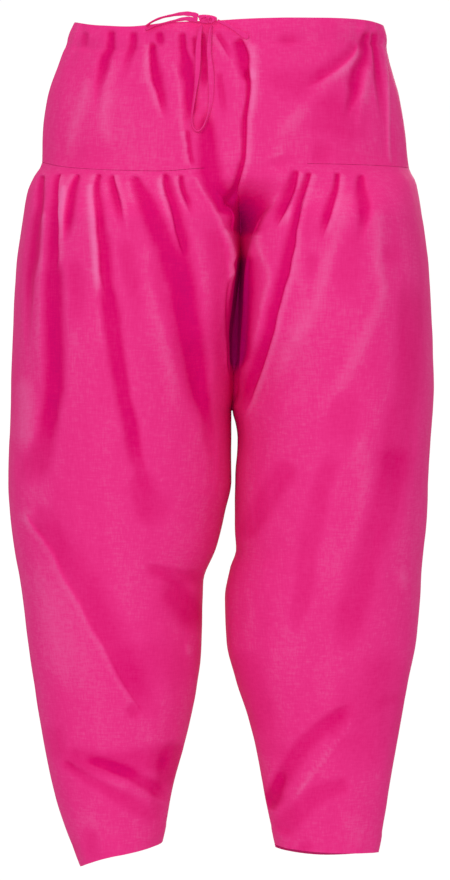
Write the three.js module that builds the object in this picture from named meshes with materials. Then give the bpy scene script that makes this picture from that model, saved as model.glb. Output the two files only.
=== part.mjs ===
import * as THREE from "three";

// A patiala salwar on no wearer, in the shape it has when worn: a plain yoke drawn in at the waist,
// pleated legs sewn under it, a gusset from waist to crotch and narrow turned hems. Millimetres.
// +Z is up and the front faces -Y. Right and left are the wearer's, so the right leg is at -X.
// The origin is at the middle of the waist, level with its top edge.

const WALL = 1.6; // cotton with its turned seams, as a rigid wall
const CASING_WALL = 3; // the doubled cloth that the drawstring runs in
const CASING_DEEP = 26;
const CASING_STEP = 6; // the height in which the wall thins under the casing
const SEAM_GAP = 0.32;
const CROTCH_Z = -449;
const LEVEL_NEAR = 0.01; // heights closer than this are one level
const YOKE_Z = -174; // the usual height of the seam under the yoke
const HEM_Z = -960; // the usual height of the hems
const GUSSET_EDGE = 0.08; // where the leg turns in to the gusset, on the way round

// The way round the garment is one number: 0 at centre front, 0.5 at the left side, 1 at centre
// back, and the same below zero on the right.
const SIDE = 0.5;
const CENTRE_BACK = 1;
const WHOLE_WAY = 2;
const FRONT_FACE = 0.27; // the foremost line of a leg
const BACK_FACE = 0.73;

const table = (columns, rows) =>
  rows.map((row) => Object.fromEntries(columns.map((name, i) => [name, row[i]])));

// Half widths and depths at each height. out is the outline's distance from the centre line, inn the
// distance of the leg's inner side, front and back the depths before and behind it.
const RIGHT_LEG = table(
  ["z", "out", "inn", "front", "back"],
  [
    [20, 172, -12, 110, 104],
    [-2, 177, -12, 112, 106],
    [-46, 194, -12, 121, 118],
    [-92, 209, -12, 128, 130],
    [-130, 214, -12, 132, 138],
    [-165, 215, -12, 135, 142],
    [-200, 229, -12, 144, 149],
    [-245, 238, -3, 150, 152],
    [-276, 243, -8, 151, 152],
    [-318, 246, -5, 150, 149],
    [-368, 248, 0, 147, 144],
    [-410, 250, -1, 142, 138],
    [-449, 251, -3, 138, 133],
    [-529, 254, -3, 127, 124],
    [-565, 252, 5, 121, 119],
    [-604, 247, 14, 114, 114],
    [-648, 239, 30, 106, 109],
    [-713, 232, 31, 95, 102],
    [-771, 223, 38, 84, 94],
    [-836, 213, 52, 71, 84],
    [-890, 201, 66, 60, 76],
    [-930, 188, 73, 52, 69],
    [-978, 169, 86, 46, 64],
  ],
);
const LEFT_LEG = table(
  ["z", "out", "inn", "front", "back"],
  [
    [20, 172, 75, 110, 104],
    [-10, 178, 75, 113, 108],
    [-46, 184, 75, 121, 118],
    [-92, 197, 75, 128, 130],
    [-130, 203, 75, 132, 138],
    [-165, 206, 75, 135, 142],
    [-203, 215, 61, 144, 149],
    [-232, 221, 37, 149, 151],
    [-256, 225, 26, 151, 152],
    [-280, 228, 20, 151, 152],
    [-320, 231, 16, 150, 149],
    [-370, 234, 13, 147, 144],
    [-425, 235, 10, 140, 136],
    [-449, 234, 10, 138, 133],
    [-529, 229, 7, 127, 124],
    [-587, 226, 7, 117, 116],
    [-608, 224, 8, 112, 113],
    [-630, 222, 1, 108, 110],
    [-665, 220, -5, 101, 105],
    [-716, 215, -3, 90, 98],
    [-753, 208, 6, 82, 92],
    [-800, 199, 21, 71, 83],
    [-857, 189, 35, 59, 72],
    [-906, 181, 44, 49, 62],
    [-965, 170, 57, 38, 52],
  ],
);

// The hollow between the legs, before and behind: how far its floor lies to the left at each height.
const HOLLOW = table(
  ["z", "front", "back"],
  [
    [20, 24, 0],
    [-26, 23, 0],
    [-92, 22, 0],
    [-144, 17, 0],
    [-178, 14, 0],
    [-205, 10, 2],
    [-231, 12, 4],
    [-276, 13, 6],
    [-320, 10, 7],
    [-370, 7, 7],
    [-449, 6.5, 6.5],
  ],
);
// Its floor and its lips lie this times the root of the height above the crotch, before the middle.
const HOLLOW_FLOOR = 5.5;
const HOLLOW_LIP = 8;
const HOLLOW_FLOOR_BACK = 6.6;
const LIP_TIGHT = 3.5; // how narrow the lips' turn is at the crotch
const LIP_OPENS = 90; // the height in which that turn opens
const LIP_ROOM = 12; // the lips stay this far behind the foremost line
const LEGS_PART = [-165, -238]; // the yoke's one oval becomes two legs between these heights

// Heights of the waist edge and of the seam under the yoke, on the way round.
const LEVELS = table(
  ["at", "waist", "seam"],
  [
    [-1, -3, -168],
    [-0.7, -3, -168],
    [-0.5, -3, -164],
    [-0.3, -13, -176],
    [-0.22, -16, -180],
    [-0.14, -13, -182],
    [-0.06, -12, -179],
    [0, -10, -177],
    [0.12, -8, -174],
    [0.3, -6, -173],
    [0.5, -8, -171],
    [0.7, -3, -168],
    [1, -3, -168],
  ],
);
const HEMS = table(
  ["at", "hem"],
  [
    [-0.92, -946],
    [-0.73, -964],
    [-0.5, -974],
    [-0.27, -957],
    [-0.08, -946],
    [0.08, -948],
    [0.27, -954],
    [0.5, -958],
    [0.73, -966],
    [0.92, -952],
  ],
);

// Where the long seams run, on the way round, at each height.
const SEAMS = table(
  ["z", "rightSide", "leftSide", "gussetRight", "gussetLeft"],
  [
    [20, 0.5, 0.46, 0.089, 0.129],
    [-60, 0.5, 0.42, 0.08, 0.127],
    [-120, 0.5, 0.385, 0.068, 0.125],
    [-174, 0.5, 0.37, 0.063, 0.124],
    [-205, 0.5, 0.375, 0.098, 0.115],
    [-240, 0.5, 0.38, 0.092, 0.092],
    [-300, 0.5, 0.385, 0.082, 0.082],
    [-449, 0.5, 0.4, 0.08, 0.08],
    [-600, 0.5, 0.42, 0.08, 0.08],
    [-975, 0.5, 0.46, 0.08, 0.08],
  ],
);
const GUSSET_BACK = 0.92;

// The folds. Each runs from its top through a middle point to its end, x across and z up, and is
// deep at its deepest, with a half width at its top and at its end.
const FOLD_COLUMNS = ["topZ", "topX", "midZ", "midX", "endZ", "endX", "deep", "topWide", "endWide"];
const PLEATS_FRONT = table(FOLD_COLUMNS, [
  [-166, -212, -215, -219, -270, -226, 8, 6, 10],
  [-170, -195, -270, -199, -535, -236, 15, 8, 20],
  [-177, -174, -200, -177, -270, -188, 8, 7, 9],
  [-180, -148, -305, -134, -545, -78, 21, 9, 26],
  [-182, -127, -208, -123, -235, -115, 9, 7, 8],
  [-183, -99, -256, -71, -515, -14, 18, 9, 22],
  [-183, -72, -210, -66, -280, -42, 9, 7, 10],
  [-182, -56, -207, -49, -240, -40, 9, 6, 7],
  [-180, -40, -202, -33, -240, -19, 5, 5, 6],
  [-177, 76, -223, 61, -250, 53, 8, 7, 8],
  [-176, 91, -250, 74, -470, 17, 20, 9, 15],
  [-174, 126, -219, 113, -290, 96, 14, 8, 15],
  [-174, 150, -215, 150, -262, 148, 9, 7, 10],
  [-173, 172, -235, 182, -330, 190, 6, 6, 9],
  [-480, 116, -585, 100, -700, 70, 7, 22, 26],
  [-470, 186, -590, 170, -730, 128, 6, 22, 24],
  [-560, -216, -660, -168, -800, -92, 9, 16, 20],
  [-640, -88, -690, -62, -730, -36, 6, 14, 12],
  [-790, -190, -840, -150, -900, -100, 5, 12, 12],
  [-745, 148, -820, 96, -880, 62, 6, 14, 12],
]);
const PLEATS_BACK = table(FOLD_COLUMNS, [
  [-167, -196, -240, -202, -420, -214, 10, 8, 18],
  [-169, -168, -210, -170, -290, -176, 9, 8, 12],
  [-169, -139, -280, -133, -520, -112, 15, 9, 24],
  [-169, -112, -205, -108, -262, -102, 9, 8, 11],
  [-169, -86, -250, -74, -470, -56, 13, 9, 20],
  [-169, -60, -215, -52, -290, -40, 9, 7, 11],
  [-169, 58, -220, 52, -300, 42, 9, 7, 12],
  [-169, 85, -260, 76, -480, 58, 14, 9, 22],
  [-169, 113, -200, 111, -255, 104, 9, 8, 11],
  [-169, 140, -270, 132, -500, 108, 14, 9, 24],
  [-169, 166, -215, 168, -310, 170, 10, 8, 13],
  [-169, 190, -235, 196, -360, 204, 8, 7, 14],
  [-560, -200, -640, -150, -740, -90, 8, 18, 22],
  [-570, 180, -660, 130, -760, 70, 8, 18, 22],
  [-600, -90, -660, -120, -740, -160, 5, 16, 18],
  [-610, 60, -680, 96, -760, 140, 5, 16, 18],
  [-820, -110, -850, -140, -890, -170, 5, 12, 12],
  [-820, 90, -850, 116, -890, 150, 5, 12, 12],
]);
// Soft folds of the yoke, and the deep one at centre front.
const YOKE_FRONT = table(FOLD_COLUMNS, [
  [-10, -170, -26, -168, -50, -166, 3, 4, 5],
  [-14, -136, -42, -139, -78, -143, 6, 6, 9],
  [-16, -108, -40, -112, -92, -118, 3, 6, 12],
  [-18, -88, -66, -82, -150, -70, 8, 6, 16],
  [-12, -44, -63, -53, -118, -46, 9, 7, 8],
  [-24, -14, -50, 2, -110, 14, 5, 8, 12],
  [-70, -20, -140, -17, -205, -15, 9, 8, 8],
  [-10, 22, -92, 19, -205, 8, 13, 6, 7],
  [-8, 63, -26, 64, -50, 65, 3, 6, 6],
  [-8, 152, -48, 126, -110, 84, 5, 8, 16],
  [-10, 160, -60, 147, -120, 128, 8, 6, 14],
]);
const YOKE_BACK = table(FOLD_COLUMNS, [
  [-3, -150, -50, -154, -120, -162, 5, 6, 12],
  [-3, -118, -34, -120, -80, -124, 4, 6, 10],
  [-3, -84, -60, -80, -150, -74, 7, 7, 16],
  [-3, -52, -30, -54, -70, -56, 4, 6, 9],
  [-3, -20, -52, -16, -130, -10, 6, 7, 14],
  [-3, 14, -30, 15, -72, 17, 4, 6, 9],
  [-3, 46, -56, 42, -140, 36, 7, 7, 16],
  [-3, 80, -32, 82, -76, 85, 4, 6, 10],
  [-3, 112, -60, 110, -146, 104, 6, 7, 15],
  [-3, 146, -36, 149, -90, 154, 5, 6, 10],
]);

// The drawstring: a round cord that leaves the casing, is tied at centre front and hangs in a loop.
const CORD_R = 2;
const CORD_SIDES = 8;
const KNOT = { x: -24, y: -118.8, z: -11, wide: 11, deep: 7, high: 7 };
const UPPER_STRAND = [
  [-93, -96.9, -16.5],
  [-86, -101, -12.3],
  [-76, -106, -8.6],
  [-64, -110.4, -6.4],
  [-52, -114.6, -5],
  [-42, -117.4, -5.8],
  [-34.9, -118.8, -8],
];
const LOWER_STRAND = [
  [-93, -96.9, -21.5],
  [-84, -102, -17.7],
  [-74, -105.8, -15.2],
  [-62, -110.4, -12.8],
  [-50, -114.6, -10.8],
  [-41, -117.6, -11.6],
  [-35.4, -118.8, -12.6],
];
const HANGING_LOOP = [
  [-31, -118.3, -18.5],
  [-33, -118.8, -27],
  [-34.5, -120.3, -45],
  [-35, -123.3, -64],
  [-37, -126, -86],
  [-40, -128.8, -107],
  [-42, -131.6, -124],
  [-40.5, -133.6, -134],
  [-35.5, -134.6, -138.5],
  [-29.5, -134, -134.5],
  [-24, -131.6, -122],
  [-20.5, -128.6, -106],
  [-19.8, -126.8, -86],
  [-20.8, -125.2, -66],
  [-22.4, -123, -46],
  [-21, -119.8, -27],
  [-19.5, -118.6, -18.5],
];
const SHORT_END = [
  [-13, -118.8, -13.2],
  [-5, -118.4, -16.5],
  [2, -119, -20.5],
  [10, -119.8, -25.5],
  [17, -120.4, -30],
  [21.5, -120.8, -33],
];

const lerp = (a, b, k) => a + (b - a) * k;
const smooth = (k) => {
  const c = Math.min(Math.max(k, 0), 1);
  return c * c * (3 - 2 * c);
};
const unit = (v) => v.clone().normalize();

// A smooth curve through a table's column that keeps between its neighbours.
function curve(rows, column, key = "z") {
  const points = rows.map((row) => [row[key], row[column]]).sort((a, b) => a[0] - b[0]);
  const x = points.map((p) => p[0]);
  const y = points.map((p) => p[1]);
  const steps = x.slice(1).map((next, i) => (y[i + 1] - y[i]) / (next - x[i]));
  const slope = x.map((_, i) => {
    if (i === 0 || i === x.length - 1) return i === 0 ? steps[0] : steps[i - 1];
    const [before, after] = [steps[i - 1], steps[i]];
    return before * after <= 0 ? 0 : (2 * before * after) / (before + after);
  });
  return (at) => {
    if (at <= x[0]) return y[0];
    if (at >= x[x.length - 1]) return y[x.length - 1];
    const i = x.findIndex((value) => value > at) - 1;
    const wide = x[i + 1] - x[i];
    const k = (at - x[i]) / wide;
    const bend = k * k * (3 - 2 * k);
    const start = k * (1 - k) * (1 - k) * wide * slope[i];
    const end = k * k * (k - 1) * wide * slope[i + 1];
    return lerp(y[i], y[i + 1], bend) + start + end;
  };
}

const curves = (rows, columns, key) =>
  Object.fromEntries(columns.map((name) => [name, curve(rows, name, key)]));
const sizes = {
  [-1]: curves(RIGHT_LEG, ["out", "inn", "front", "back"]),
  [1]: curves(LEFT_LEG, ["out", "inn", "front", "back"]),
};
const hollow = curves(HOLLOW, ["front", "back"]);
const levels = curves(LEVELS, ["waist", "seam"], "at");
const hemHeight = curve(HEMS, "hem", "at");
const seams = curves(SEAMS, ["rightSide", "leftSide", "gussetRight", "gussetLeft"]);

// A way round that ran past centre back comes round again on the right.
const wrapped = (round) => (round > CENTRE_BACK ? round - WHOLE_WAY : round);

// The smooth shape without folds: a point on the way round at height z. Below the crotch the way
// round runs on from a leg's front into its back.
function plainShape(round, z) {
  const way = wrapped(round);
  const side = way < 0 ? -1 : 1;
  let t = Math.abs(way);
  const belowCrotch = z < CROTCH_Z - LEVEL_NEAR;
  if (belowCrotch && t < GUSSET_EDGE) t = 1 - 2 * GUSSET_EDGE + t;
  else if (belowCrotch && t > 1 - GUSSET_EDGE) t = t - 1 + 2 * GUSSET_EDGE;
  const front = t < SIDE;
  const size = sizes[side];
  const [out, inn, fore, aft] = [size.out(z), size.inn(z), size.front(z), size.back(z)];
  const floorX = side * (front ? hollow.front(z) : hollow.back(z));
  const parted = smooth((LEGS_PART[0] - z) / (LEGS_PART[0] - LEGS_PART[1]));
  const depth = front ? -fore : aft;
  const turn = Math.PI * t;
  const oval = [lerp(floorX, out, Math.sin(turn)), depth * Math.abs(Math.cos(turn))];

  const middleY = (aft - fore) / 2;
  const above = Math.sqrt(Math.max(z - CROTCH_Z, 0));
  const toward = front ? -1 : 1;
  const floorRate = front ? HOLLOW_FLOOR : HOLLOW_FLOOR_BACK;
  const reach = (rate) => Math.min(rate * above, Math.abs(depth) - LIP_ROOM);
  const floorY = middleY * (above > 0 ? 1 : 0) + toward * reach(floorRate);
  const lipY = middleY + toward * reach(HOLLOW_LIP);
  const fromCentre = front ? t : 1 - t;
  const face = front ? FRONT_FACE : 1 - BACK_FACE;
  const middleX = (inn + out) / 2;
  let leg;
  if (fromCentre <= GUSSET_EDGE) {
    const k = fromCentre / GUSSET_EDGE;
    leg = [lerp(floorX, inn, k), lerp(z > CROTCH_Z ? floorY : middleY, lipY, k)];
  } else if (fromCentre <= face) {
    const angle = ((fromCentre - GUSSET_EDGE) / (face - GUSSET_EDGE)) * (Math.PI / 2);
    const tight = lerp(LIP_TIGHT, 1, smooth((z - CROTCH_Z) / LIP_OPENS));
    const lipShare = (1 - Math.sin(angle)) ** tight;
    const y = lerp(middleY, depth, Math.sin(angle)) + (lipY - middleY) * lipShare;
    leg = [lerp(middleX, inn, Math.cos(angle)), y];
  } else {
    const angle = ((SIDE - fromCentre) / (SIDE - face)) * (Math.PI / 2);
    leg = [lerp(middleX, out, Math.cos(angle)), lerp(middleY, depth, Math.sin(angle))];
  }
  const ovalY = oval[1] + middleY * smooth(Math.sin(turn)) * parted;
  return new THREE.Vector3(
    side * lerp(oval[0], leg[0], parted),
    lerp(ovalY, leg[1], parted),
    z,
  );
}

const foldPaths = (rows) =>
  rows.map((fold) => ({
    ...fold,
    x: curve(
      [
        { z: fold.topZ, x: fold.topX },
        { z: fold.midZ, x: fold.midX },
        { z: fold.endZ, x: fold.endX },
      ],
      "x",
    ),
  }));
const folds = {
  front: foldPaths([...YOKE_FRONT, ...PLEATS_FRONT]),
  back: foldPaths([...YOKE_BACK, ...PLEATS_BACK]),
};
const FOLD_RISE = 3; // a fold has its depth this many half widths below its top
const FOLD_FADE = 0.6; // the share of its length in which it runs out at its end

function foldDepth(rows, x, z) {
  let sum = 0;
  for (const fold of rows) {
    const along = (fold.topZ - z) / (fold.topZ - fold.endZ);
    if (along <= 0 || along >= 1) continue;
    const across = (x - fold.x(z)) / lerp(fold.topWide, fold.endWide, along);
    const rise = smooth((fold.topZ - z) / (FOLD_RISE * fold.topWide));
    const strength = rise * smooth((1 - along) / FOLD_FADE);
    sum += fold.deep * strength * Math.exp(-across * across);
  }
  return sum;
}

const STEP_ROUND = 0.002;
const STEP_HIGH = 0.5;
const FACING = [0.15, 0.6]; // a fold fades where the cloth turns this far from the front or back
const CROTCH_X = 6.5;
const CROTCH_BARE = 10; // no fold comes this near the crotch
const CROTCH_PLAIN = 50; // and it has its full depth this much further out

// A point of the outer face, with its folds.
function clothPoint(round, z) {
  const point = plainShape(round, z);
  const ahead = plainShape(round + STEP_ROUND, z);
  const behind = plainShape(round - STEP_ROUND, z);
  const outward = new THREE.Vector3(ahead.y - behind.y, behind.x - ahead.x, 0).normalize();
  const rows = Math.abs(wrapped(round)) < SIDE ? folds.front : folds.back;
  const facing = smooth((Math.abs(outward.y) - FACING[0]) / (FACING[1] - FACING[0]));
  const fromCrotch = Math.hypot(point.x - CROTCH_X, z - CROTCH_Z);
  const held = facing * smooth((fromCrotch - CROTCH_BARE) / CROTCH_PLAIN);
  return point.addScaledVector(outward, -held * foldDepth(rows, point.x, z));
}

// The outward direction and the two tangents at a point. top and bottom limit the height stepped to.
function clothFrame(round, z, top, bottom) {
  const across = clothPoint(round + STEP_ROUND, z).sub(clothPoint(round - STEP_ROUND, z));
  const up = clothPoint(round, Math.min(z + STEP_HIGH, top));
  up.sub(clothPoint(round, Math.max(z - STEP_HIGH, bottom)));
  return { across: unit(across), up: unit(up), outward: unit(across.clone().cross(up)) };
}

// A closed wall from a grid of points. at(column, row) gives its outer and inner point.
function wallMesh(name, material, columns, rows, at) {
  const positions = [];
  const indices = [];
  for (let j = 0; j <= rows; j += 1) {
    for (let i = 0; i <= columns; i += 1) {
      const { outer, inner } = at(i, j);
      positions.push(...outer, ...inner);
    }
  }
  const outerAt = (i, j) => 2 * (j * (columns + 1) + i);
  const quad = (a, b, c, d) => indices.push(a, b, c, a, c, d);
  for (let j = 0; j < rows; j += 1) {
    for (let i = 0; i < columns; i += 1) {
      const [a, b] = [outerAt(i, j), outerAt(i, j + 1)];
      const [c, d] = [outerAt(i + 1, j + 1), outerAt(i + 1, j)];
      quad(a, b, c, d);
      quad(d + 1, c + 1, b + 1, a + 1);
    }
  }
  for (let i = 0; i < columns; i += 1) {
    const [a, b] = [outerAt(i, 0), outerAt(i + 1, 0)];
    const [c, d] = [outerAt(i, rows), outerAt(i + 1, rows)];
    quad(a, b, b + 1, a + 1);
    quad(c, c + 1, d + 1, d);
  }
  for (let j = 0; j < rows; j += 1) {
    const [a, b] = [outerAt(0, j), outerAt(0, j + 1)];
    const [c, d] = [outerAt(columns, j), outerAt(columns, j + 1)];
    quad(a, a + 1, b + 1, b);
    quad(c, d, d + 1, c + 1);
  }
  const geometry = new THREE.BufferGeometry();
  geometry.setAttribute("position", new THREE.Float32BufferAttribute(positions, 3));
  geometry.setIndex(indices);
  geometry.computeVertexNormals();
  const mesh = new THREE.Mesh(geometry, material);
  mesh.name = name;
  return mesh;
}

// The levels of the rows. A level has the height at each place on the way round, and a rough height
// that the long seams are looked up at.
const waistToSeam = (k) => ({
  rough: lerp(0, YOKE_Z, k),
  height: (round) => lerp(levels.waist(round), levels.seam(round), k),
});
const seamToCrotch = (k) => ({
  rough: lerp(YOKE_Z, CROTCH_Z, k),
  height: (round) => lerp(levels.seam(round), CROTCH_Z, k),
});
const crotchToHem = (k) => ({
  rough: lerp(CROTCH_Z, HEM_Z, k),
  height: (round) => lerp(CROTCH_Z, hemHeight(round), k),
});
const CROWDING = 0.35; // how much closer a panel's columns stand at its middle, where it faces out
const crowded = (k) => k + (CROWDING * Math.sin(2 * Math.PI * k)) / (2 * Math.PI);
const even = (count) => Array.from({ length: count + 1 }, (_, i) => i / count);
const UPPER_SHARES = [0, 0.03, 0.07, 0.13, 0.2, 0.28, 0.37, 0.47, 0.58, 0.69, 0.8, 0.89, 0.95, 0.985, 1];
const YOKE_ROWS = [0, 0.08, 0.16, 0.28, 0.42, 0.56, 0.7, 0.85, 1].map(waistToSeam);
const UPPER_ROWS = UPPER_SHARES.map(seamToCrotch);
const LOWER_ROWS = even(12).map(crotchToHem);
const LEG_ROWS = [...UPPER_ROWS, ...LOWER_ROWS.slice(1)];
const GUSSET_ROWS = [...YOKE_ROWS, ...UPPER_ROWS.slice(1)];

// A panel between two long seams, over some levels. One that ends at the crotch is mitred there, to
// meet the one that comes up the other side.
function panel(name, material, columns, rows, startSeam, endSeam, endsAtCrotch = false) {
  const roundAt = (i, row) => lerp(startSeam(row.rough), endSeam(row.rough), crowded(i / columns));
  return wallMesh(name, material, columns, rows.length - 1, (i, j) => {
    const round = roundAt(i, rows[j]);
    const z = rows[j].height(wrapped(round));
    const top = rows[0].height(wrapped(round));
    const bottom = rows[rows.length - 1].height(wrapped(round));
    const frame = clothFrame(round, z, top, bottom);
    const outer = clothPoint(round, z);
    const into = (i === 0 ? 1 : 0) - (i === columns ? 1 : 0);
    const down = (j === 0 ? 1 : 0) - (j === rows.length - 1 ? 1 : 0);
    outer.addScaledVector(frame.across, (into * SEAM_GAP) / 2);
    outer.addScaledVector(frame.up, (-down * SEAM_GAP) / 2);
    const fromWaist = levels.waist(wrapped(round)) - z;
    const mitred = endsAtCrotch && j === rows.length - 1;
    const outward = mitred ? new THREE.Vector3(0, 0, -1) : frame.outward;
    const wall = lerp(CASING_WALL, WALL, smooth((fromWaist - CASING_DEEP) / CASING_STEP));
    return { outer, inner: outer.clone().addScaledVector(outward, -wall) };
  });
}

// A closed round cord along a route.
function cord(name, material, route, steps) {
  const path = new THREE.CatmullRomCurve3(route.map((point) => new THREE.Vector3(...point)));
  const section = new THREE.Shape();
  for (let i = 0; i < CORD_SIDES; i += 1) {
    const turn = (i / CORD_SIDES) * 2 * Math.PI;
    const [x, y] = [CORD_R * Math.cos(turn), CORD_R * Math.sin(turn)];
    if (i === 0) section.moveTo(x, y);
    else section.lineTo(x, y);
  }
  const geometry = new THREE.ExtrudeGeometry(section, { steps, extrudePath: path, curveSegments: 1 });
  const mesh = new THREE.Mesh(geometry, material);
  mesh.name = name;
  return mesh;
}

function knot(material) {
  const geometry = new THREE.IcosahedronGeometry(1, 2);
  geometry.scale(KNOT.wide, KNOT.deep, KNOT.high);
  const mesh = new THREE.Mesh(geometry, material);
  mesh.name = "drawstring_knot";
  mesh.position.set(KNOT.x, KNOT.y, KNOT.z);
  return mesh;
}

const cotton = (color) => new THREE.MeshStandardMaterial({ color, roughness: 0.75, metalness: 0 });
const YOKE_PINK = 0xe62882;
const LEG_PINK = 0xe8308a;
const GUSSET_PINK = 0xd8207a;
const CORD_PINK = 0xe0287c;

const onRight = (seam) => (z) => -seam(z);
const roundTheBack = (seam) => (z) => WHOLE_WAY - seam(z);
const always = (value) => () => value;
const rightSide = onRight(seams.rightSide);
const rightSideBehind = roundTheBack(seams.rightSide);
const gussetRight = onRight(seams.gussetRight);
const { leftSide, gussetLeft } = seams;
const gussetBackLeft = always(GUSSET_BACK);
const gussetBackRight = always(WHOLE_WAY - GUSSET_BACK);

const salwar = new THREE.Group();
salwar.add(
  panel("yoke_front_right", cotton(YOKE_PINK), 16, YOKE_ROWS, rightSide, gussetRight),
  panel("yoke_front_left", cotton(YOKE_PINK), 12, YOKE_ROWS, gussetLeft, leftSide),
  panel("yoke_back", cotton(YOKE_PINK), 30, YOKE_ROWS, leftSide, rightSideBehind),
  panel("gusset_front", cotton(GUSSET_PINK), 12, GUSSET_ROWS, gussetRight, gussetLeft, true),
  panel("gusset_back", cotton(GUSSET_PINK), 10, UPPER_ROWS, gussetBackLeft, gussetBackRight, true),
);
salwar.add(
  panel("leg_front_right", cotton(LEG_PINK), 34, LEG_ROWS, rightSide, gussetRight),
  panel("leg_front_left", cotton(LEG_PINK), 28, LEG_ROWS, gussetLeft, leftSide),
  panel("leg_back_right", cotton(LEG_PINK), 24, LEG_ROWS, gussetBackRight, rightSideBehind),
  panel("leg_back_left", cotton(LEG_PINK), 26, LEG_ROWS, leftSide, gussetBackLeft),
);
salwar.add(
  knot(cotton(CORD_PINK)),
  cord("drawstring_upper_strand", cotton(CORD_PINK), UPPER_STRAND, 10),
  cord("drawstring_lower_strand", cotton(CORD_PINK), LOWER_STRAND, 10),
  cord("drawstring_loop", cotton(CORD_PINK), HANGING_LOOP, 32),
  cord("drawstring_short_end", cotton(CORD_PINK), SHORT_END, 6),
);

export default salwar;
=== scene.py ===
# A patiala salwar in hot pink cotton, hollow, in the shape that it has when worn. The tables are in
# millimetres and the meshes in metres. Right and left are the wearer's, so the right leg is at -X.
import math

import bmesh
import bpy
import numpy as np
from mathutils import Matrix, Vector, noise


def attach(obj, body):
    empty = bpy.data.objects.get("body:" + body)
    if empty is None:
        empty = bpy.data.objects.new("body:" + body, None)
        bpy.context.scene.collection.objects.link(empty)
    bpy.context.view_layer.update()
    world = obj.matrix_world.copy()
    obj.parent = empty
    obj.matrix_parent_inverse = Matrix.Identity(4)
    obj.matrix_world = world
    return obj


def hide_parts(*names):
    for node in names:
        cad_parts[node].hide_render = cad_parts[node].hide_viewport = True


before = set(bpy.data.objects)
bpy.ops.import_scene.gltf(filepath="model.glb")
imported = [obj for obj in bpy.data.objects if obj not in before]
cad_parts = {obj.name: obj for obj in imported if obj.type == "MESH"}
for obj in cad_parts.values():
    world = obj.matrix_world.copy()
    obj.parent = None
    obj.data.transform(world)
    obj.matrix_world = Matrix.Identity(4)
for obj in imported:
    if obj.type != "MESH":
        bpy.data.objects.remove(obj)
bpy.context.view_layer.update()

MM = 0.001


# Camera and cords

LENS = 160
CAMERA_PLACE = (-0.0046, -4.5, -0.483)


def set_camera():
    """The photograph's view: level, from the front, at the height of the thighs."""
    data = bpy.data.cameras.new("camera")
    data.lens = LENS
    camera = bpy.data.objects.new("camera", data)
    camera.location = CAMERA_PLACE
    camera.rotation_euler = (math.pi / 2, 0, 0)
    bpy.context.scene.collection.objects.link(camera)
    bpy.context.scene.camera = camera


set_camera()

# The drawstring's routes, and how its flat side turns along them: 0 lies on edge, 1 faces front.
TAPE_WIDE = 5.0
TAPE_THICK = 2.0
TAPE_SIDES = 16
TAPE_DENT = 0.35  # how far its flat sides dent, as a share of its thickness
FLAT_SIDE = 0.7  # where round the tape its flat sides begin
WIDTH_WAVE = (0.07, 41, 2)  # how its width wavers: the share, the beats along it and where they start
THICKNESS_WAVE = (0.12, 29, 0)
UPPER_STRAND = [
    (-93, -96.9, -16.5),
    (-86, -101, -12.3),
    (-76, -106, -8.6),
    (-64, -110.4, -6.4),
    (-52, -114.6, -5),
    (-42, -117.4, -5.8),
    (-34.9, -118.8, -8),
]
LOWER_STRAND = [
    (-93, -96.9, -21.5),
    (-84, -102, -17.7),
    (-74, -105.8, -15.2),
    (-62, -110.4, -12.8),
    (-50, -114.6, -10.8),
    (-41, -117.6, -11.6),
    (-35.4, -118.8, -12.6),
]
HANGING_LOOP = [
    (-31, -118.3, -18.5),
    (-33, -118.8, -27),
    (-34.5, -120.3, -45),
    (-35, -123.3, -64),
    (-37, -126, -86),
    (-40, -128.8, -107),
    (-42, -131.6, -124),
    (-40.5, -133.6, -134),
    (-35.5, -134.6, -138.5),
    (-29.5, -134, -134.5),
    (-24, -131.6, -122),
    (-20.5, -128.6, -106),
    (-19.8, -126.8, -86),
    (-20.8, -125.2, -66),
    (-22.4, -123, -46),
    (-21, -119.8, -27),
    (-19.5, -118.6, -18.5),
]
SHORT_END = [
    (-13, -118.8, -13.2),
    (-5, -118.4, -16.5),
    (2, -119, -20.5),
    (10, -119.8, -25.5),
    (17, -120.4, -30),
    (21.5, -120.8, -33),
]
KNOT_CENTRE = (-24, -118.8, -11)
STRAND_TURNS = ((0, 0.1, 0.9), (0.5, 0.25, 0.9), (0.75, 0.9, 1), (1, 0.95, 1.1))
LOOP_TURNS = ((0, 0.4, 0.7), (0.08, 0.9, 1.1), (0.2, 0.95, 1.25), (0.27, 0.3, 1), (0.34, 0.25, 0.9),
              (0.5, 0.15, 0.9), (0.62, 0.2, 0.9), (0.7, 0.8, 1.1), (0.8, 0.95, 1.35), (0.88, 0.7, 1),
              (1, 0.3, 0.7))
END_TURNS = ((0, 0.9, 0.7), (0.5, 0.9, 0.75), (0.75, 0.95, 1.25), (0.92, 0.95, 1.2), (1, 0.9, 0.4))


def smooth(k):
    """0 to 1, easing in and out."""
    c = np.clip(k, 0, 1)
    return c * c * (3 - 2 * c)


def lerp(a, b, k):
    return a + (b - a) * k


def through(points, per_step=6):
    """A smooth line through points, as an array."""
    p = np.array(points, float)
    p = np.vstack([2 * p[0] - p[1], p, 2 * p[-1] - p[-2]])
    k = np.arange(per_step)[:, None] / per_step
    spans = [
        0.5 * (2 * b + (c - a) * k + (2 * a - 5 * b + 4 * c - d) * k**2 + (3 * b - a - 3 * c + d) * k**3)
        for a, b, c, d in zip(p, p[1:], p[2:], p[3:])
    ]
    return np.vstack(spans + [p[-2:-1]])


def wavering(k, wave):
    """A share of width that wavers about 1 along a cord."""
    share, beats, start = wave
    return 1 + share * math.sin(beats * k + start)


def new_object(name, mesh):
    piece = bpy.data.objects.new(name, mesh)
    bpy.context.scene.collection.objects.link(piece)
    return piece


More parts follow.
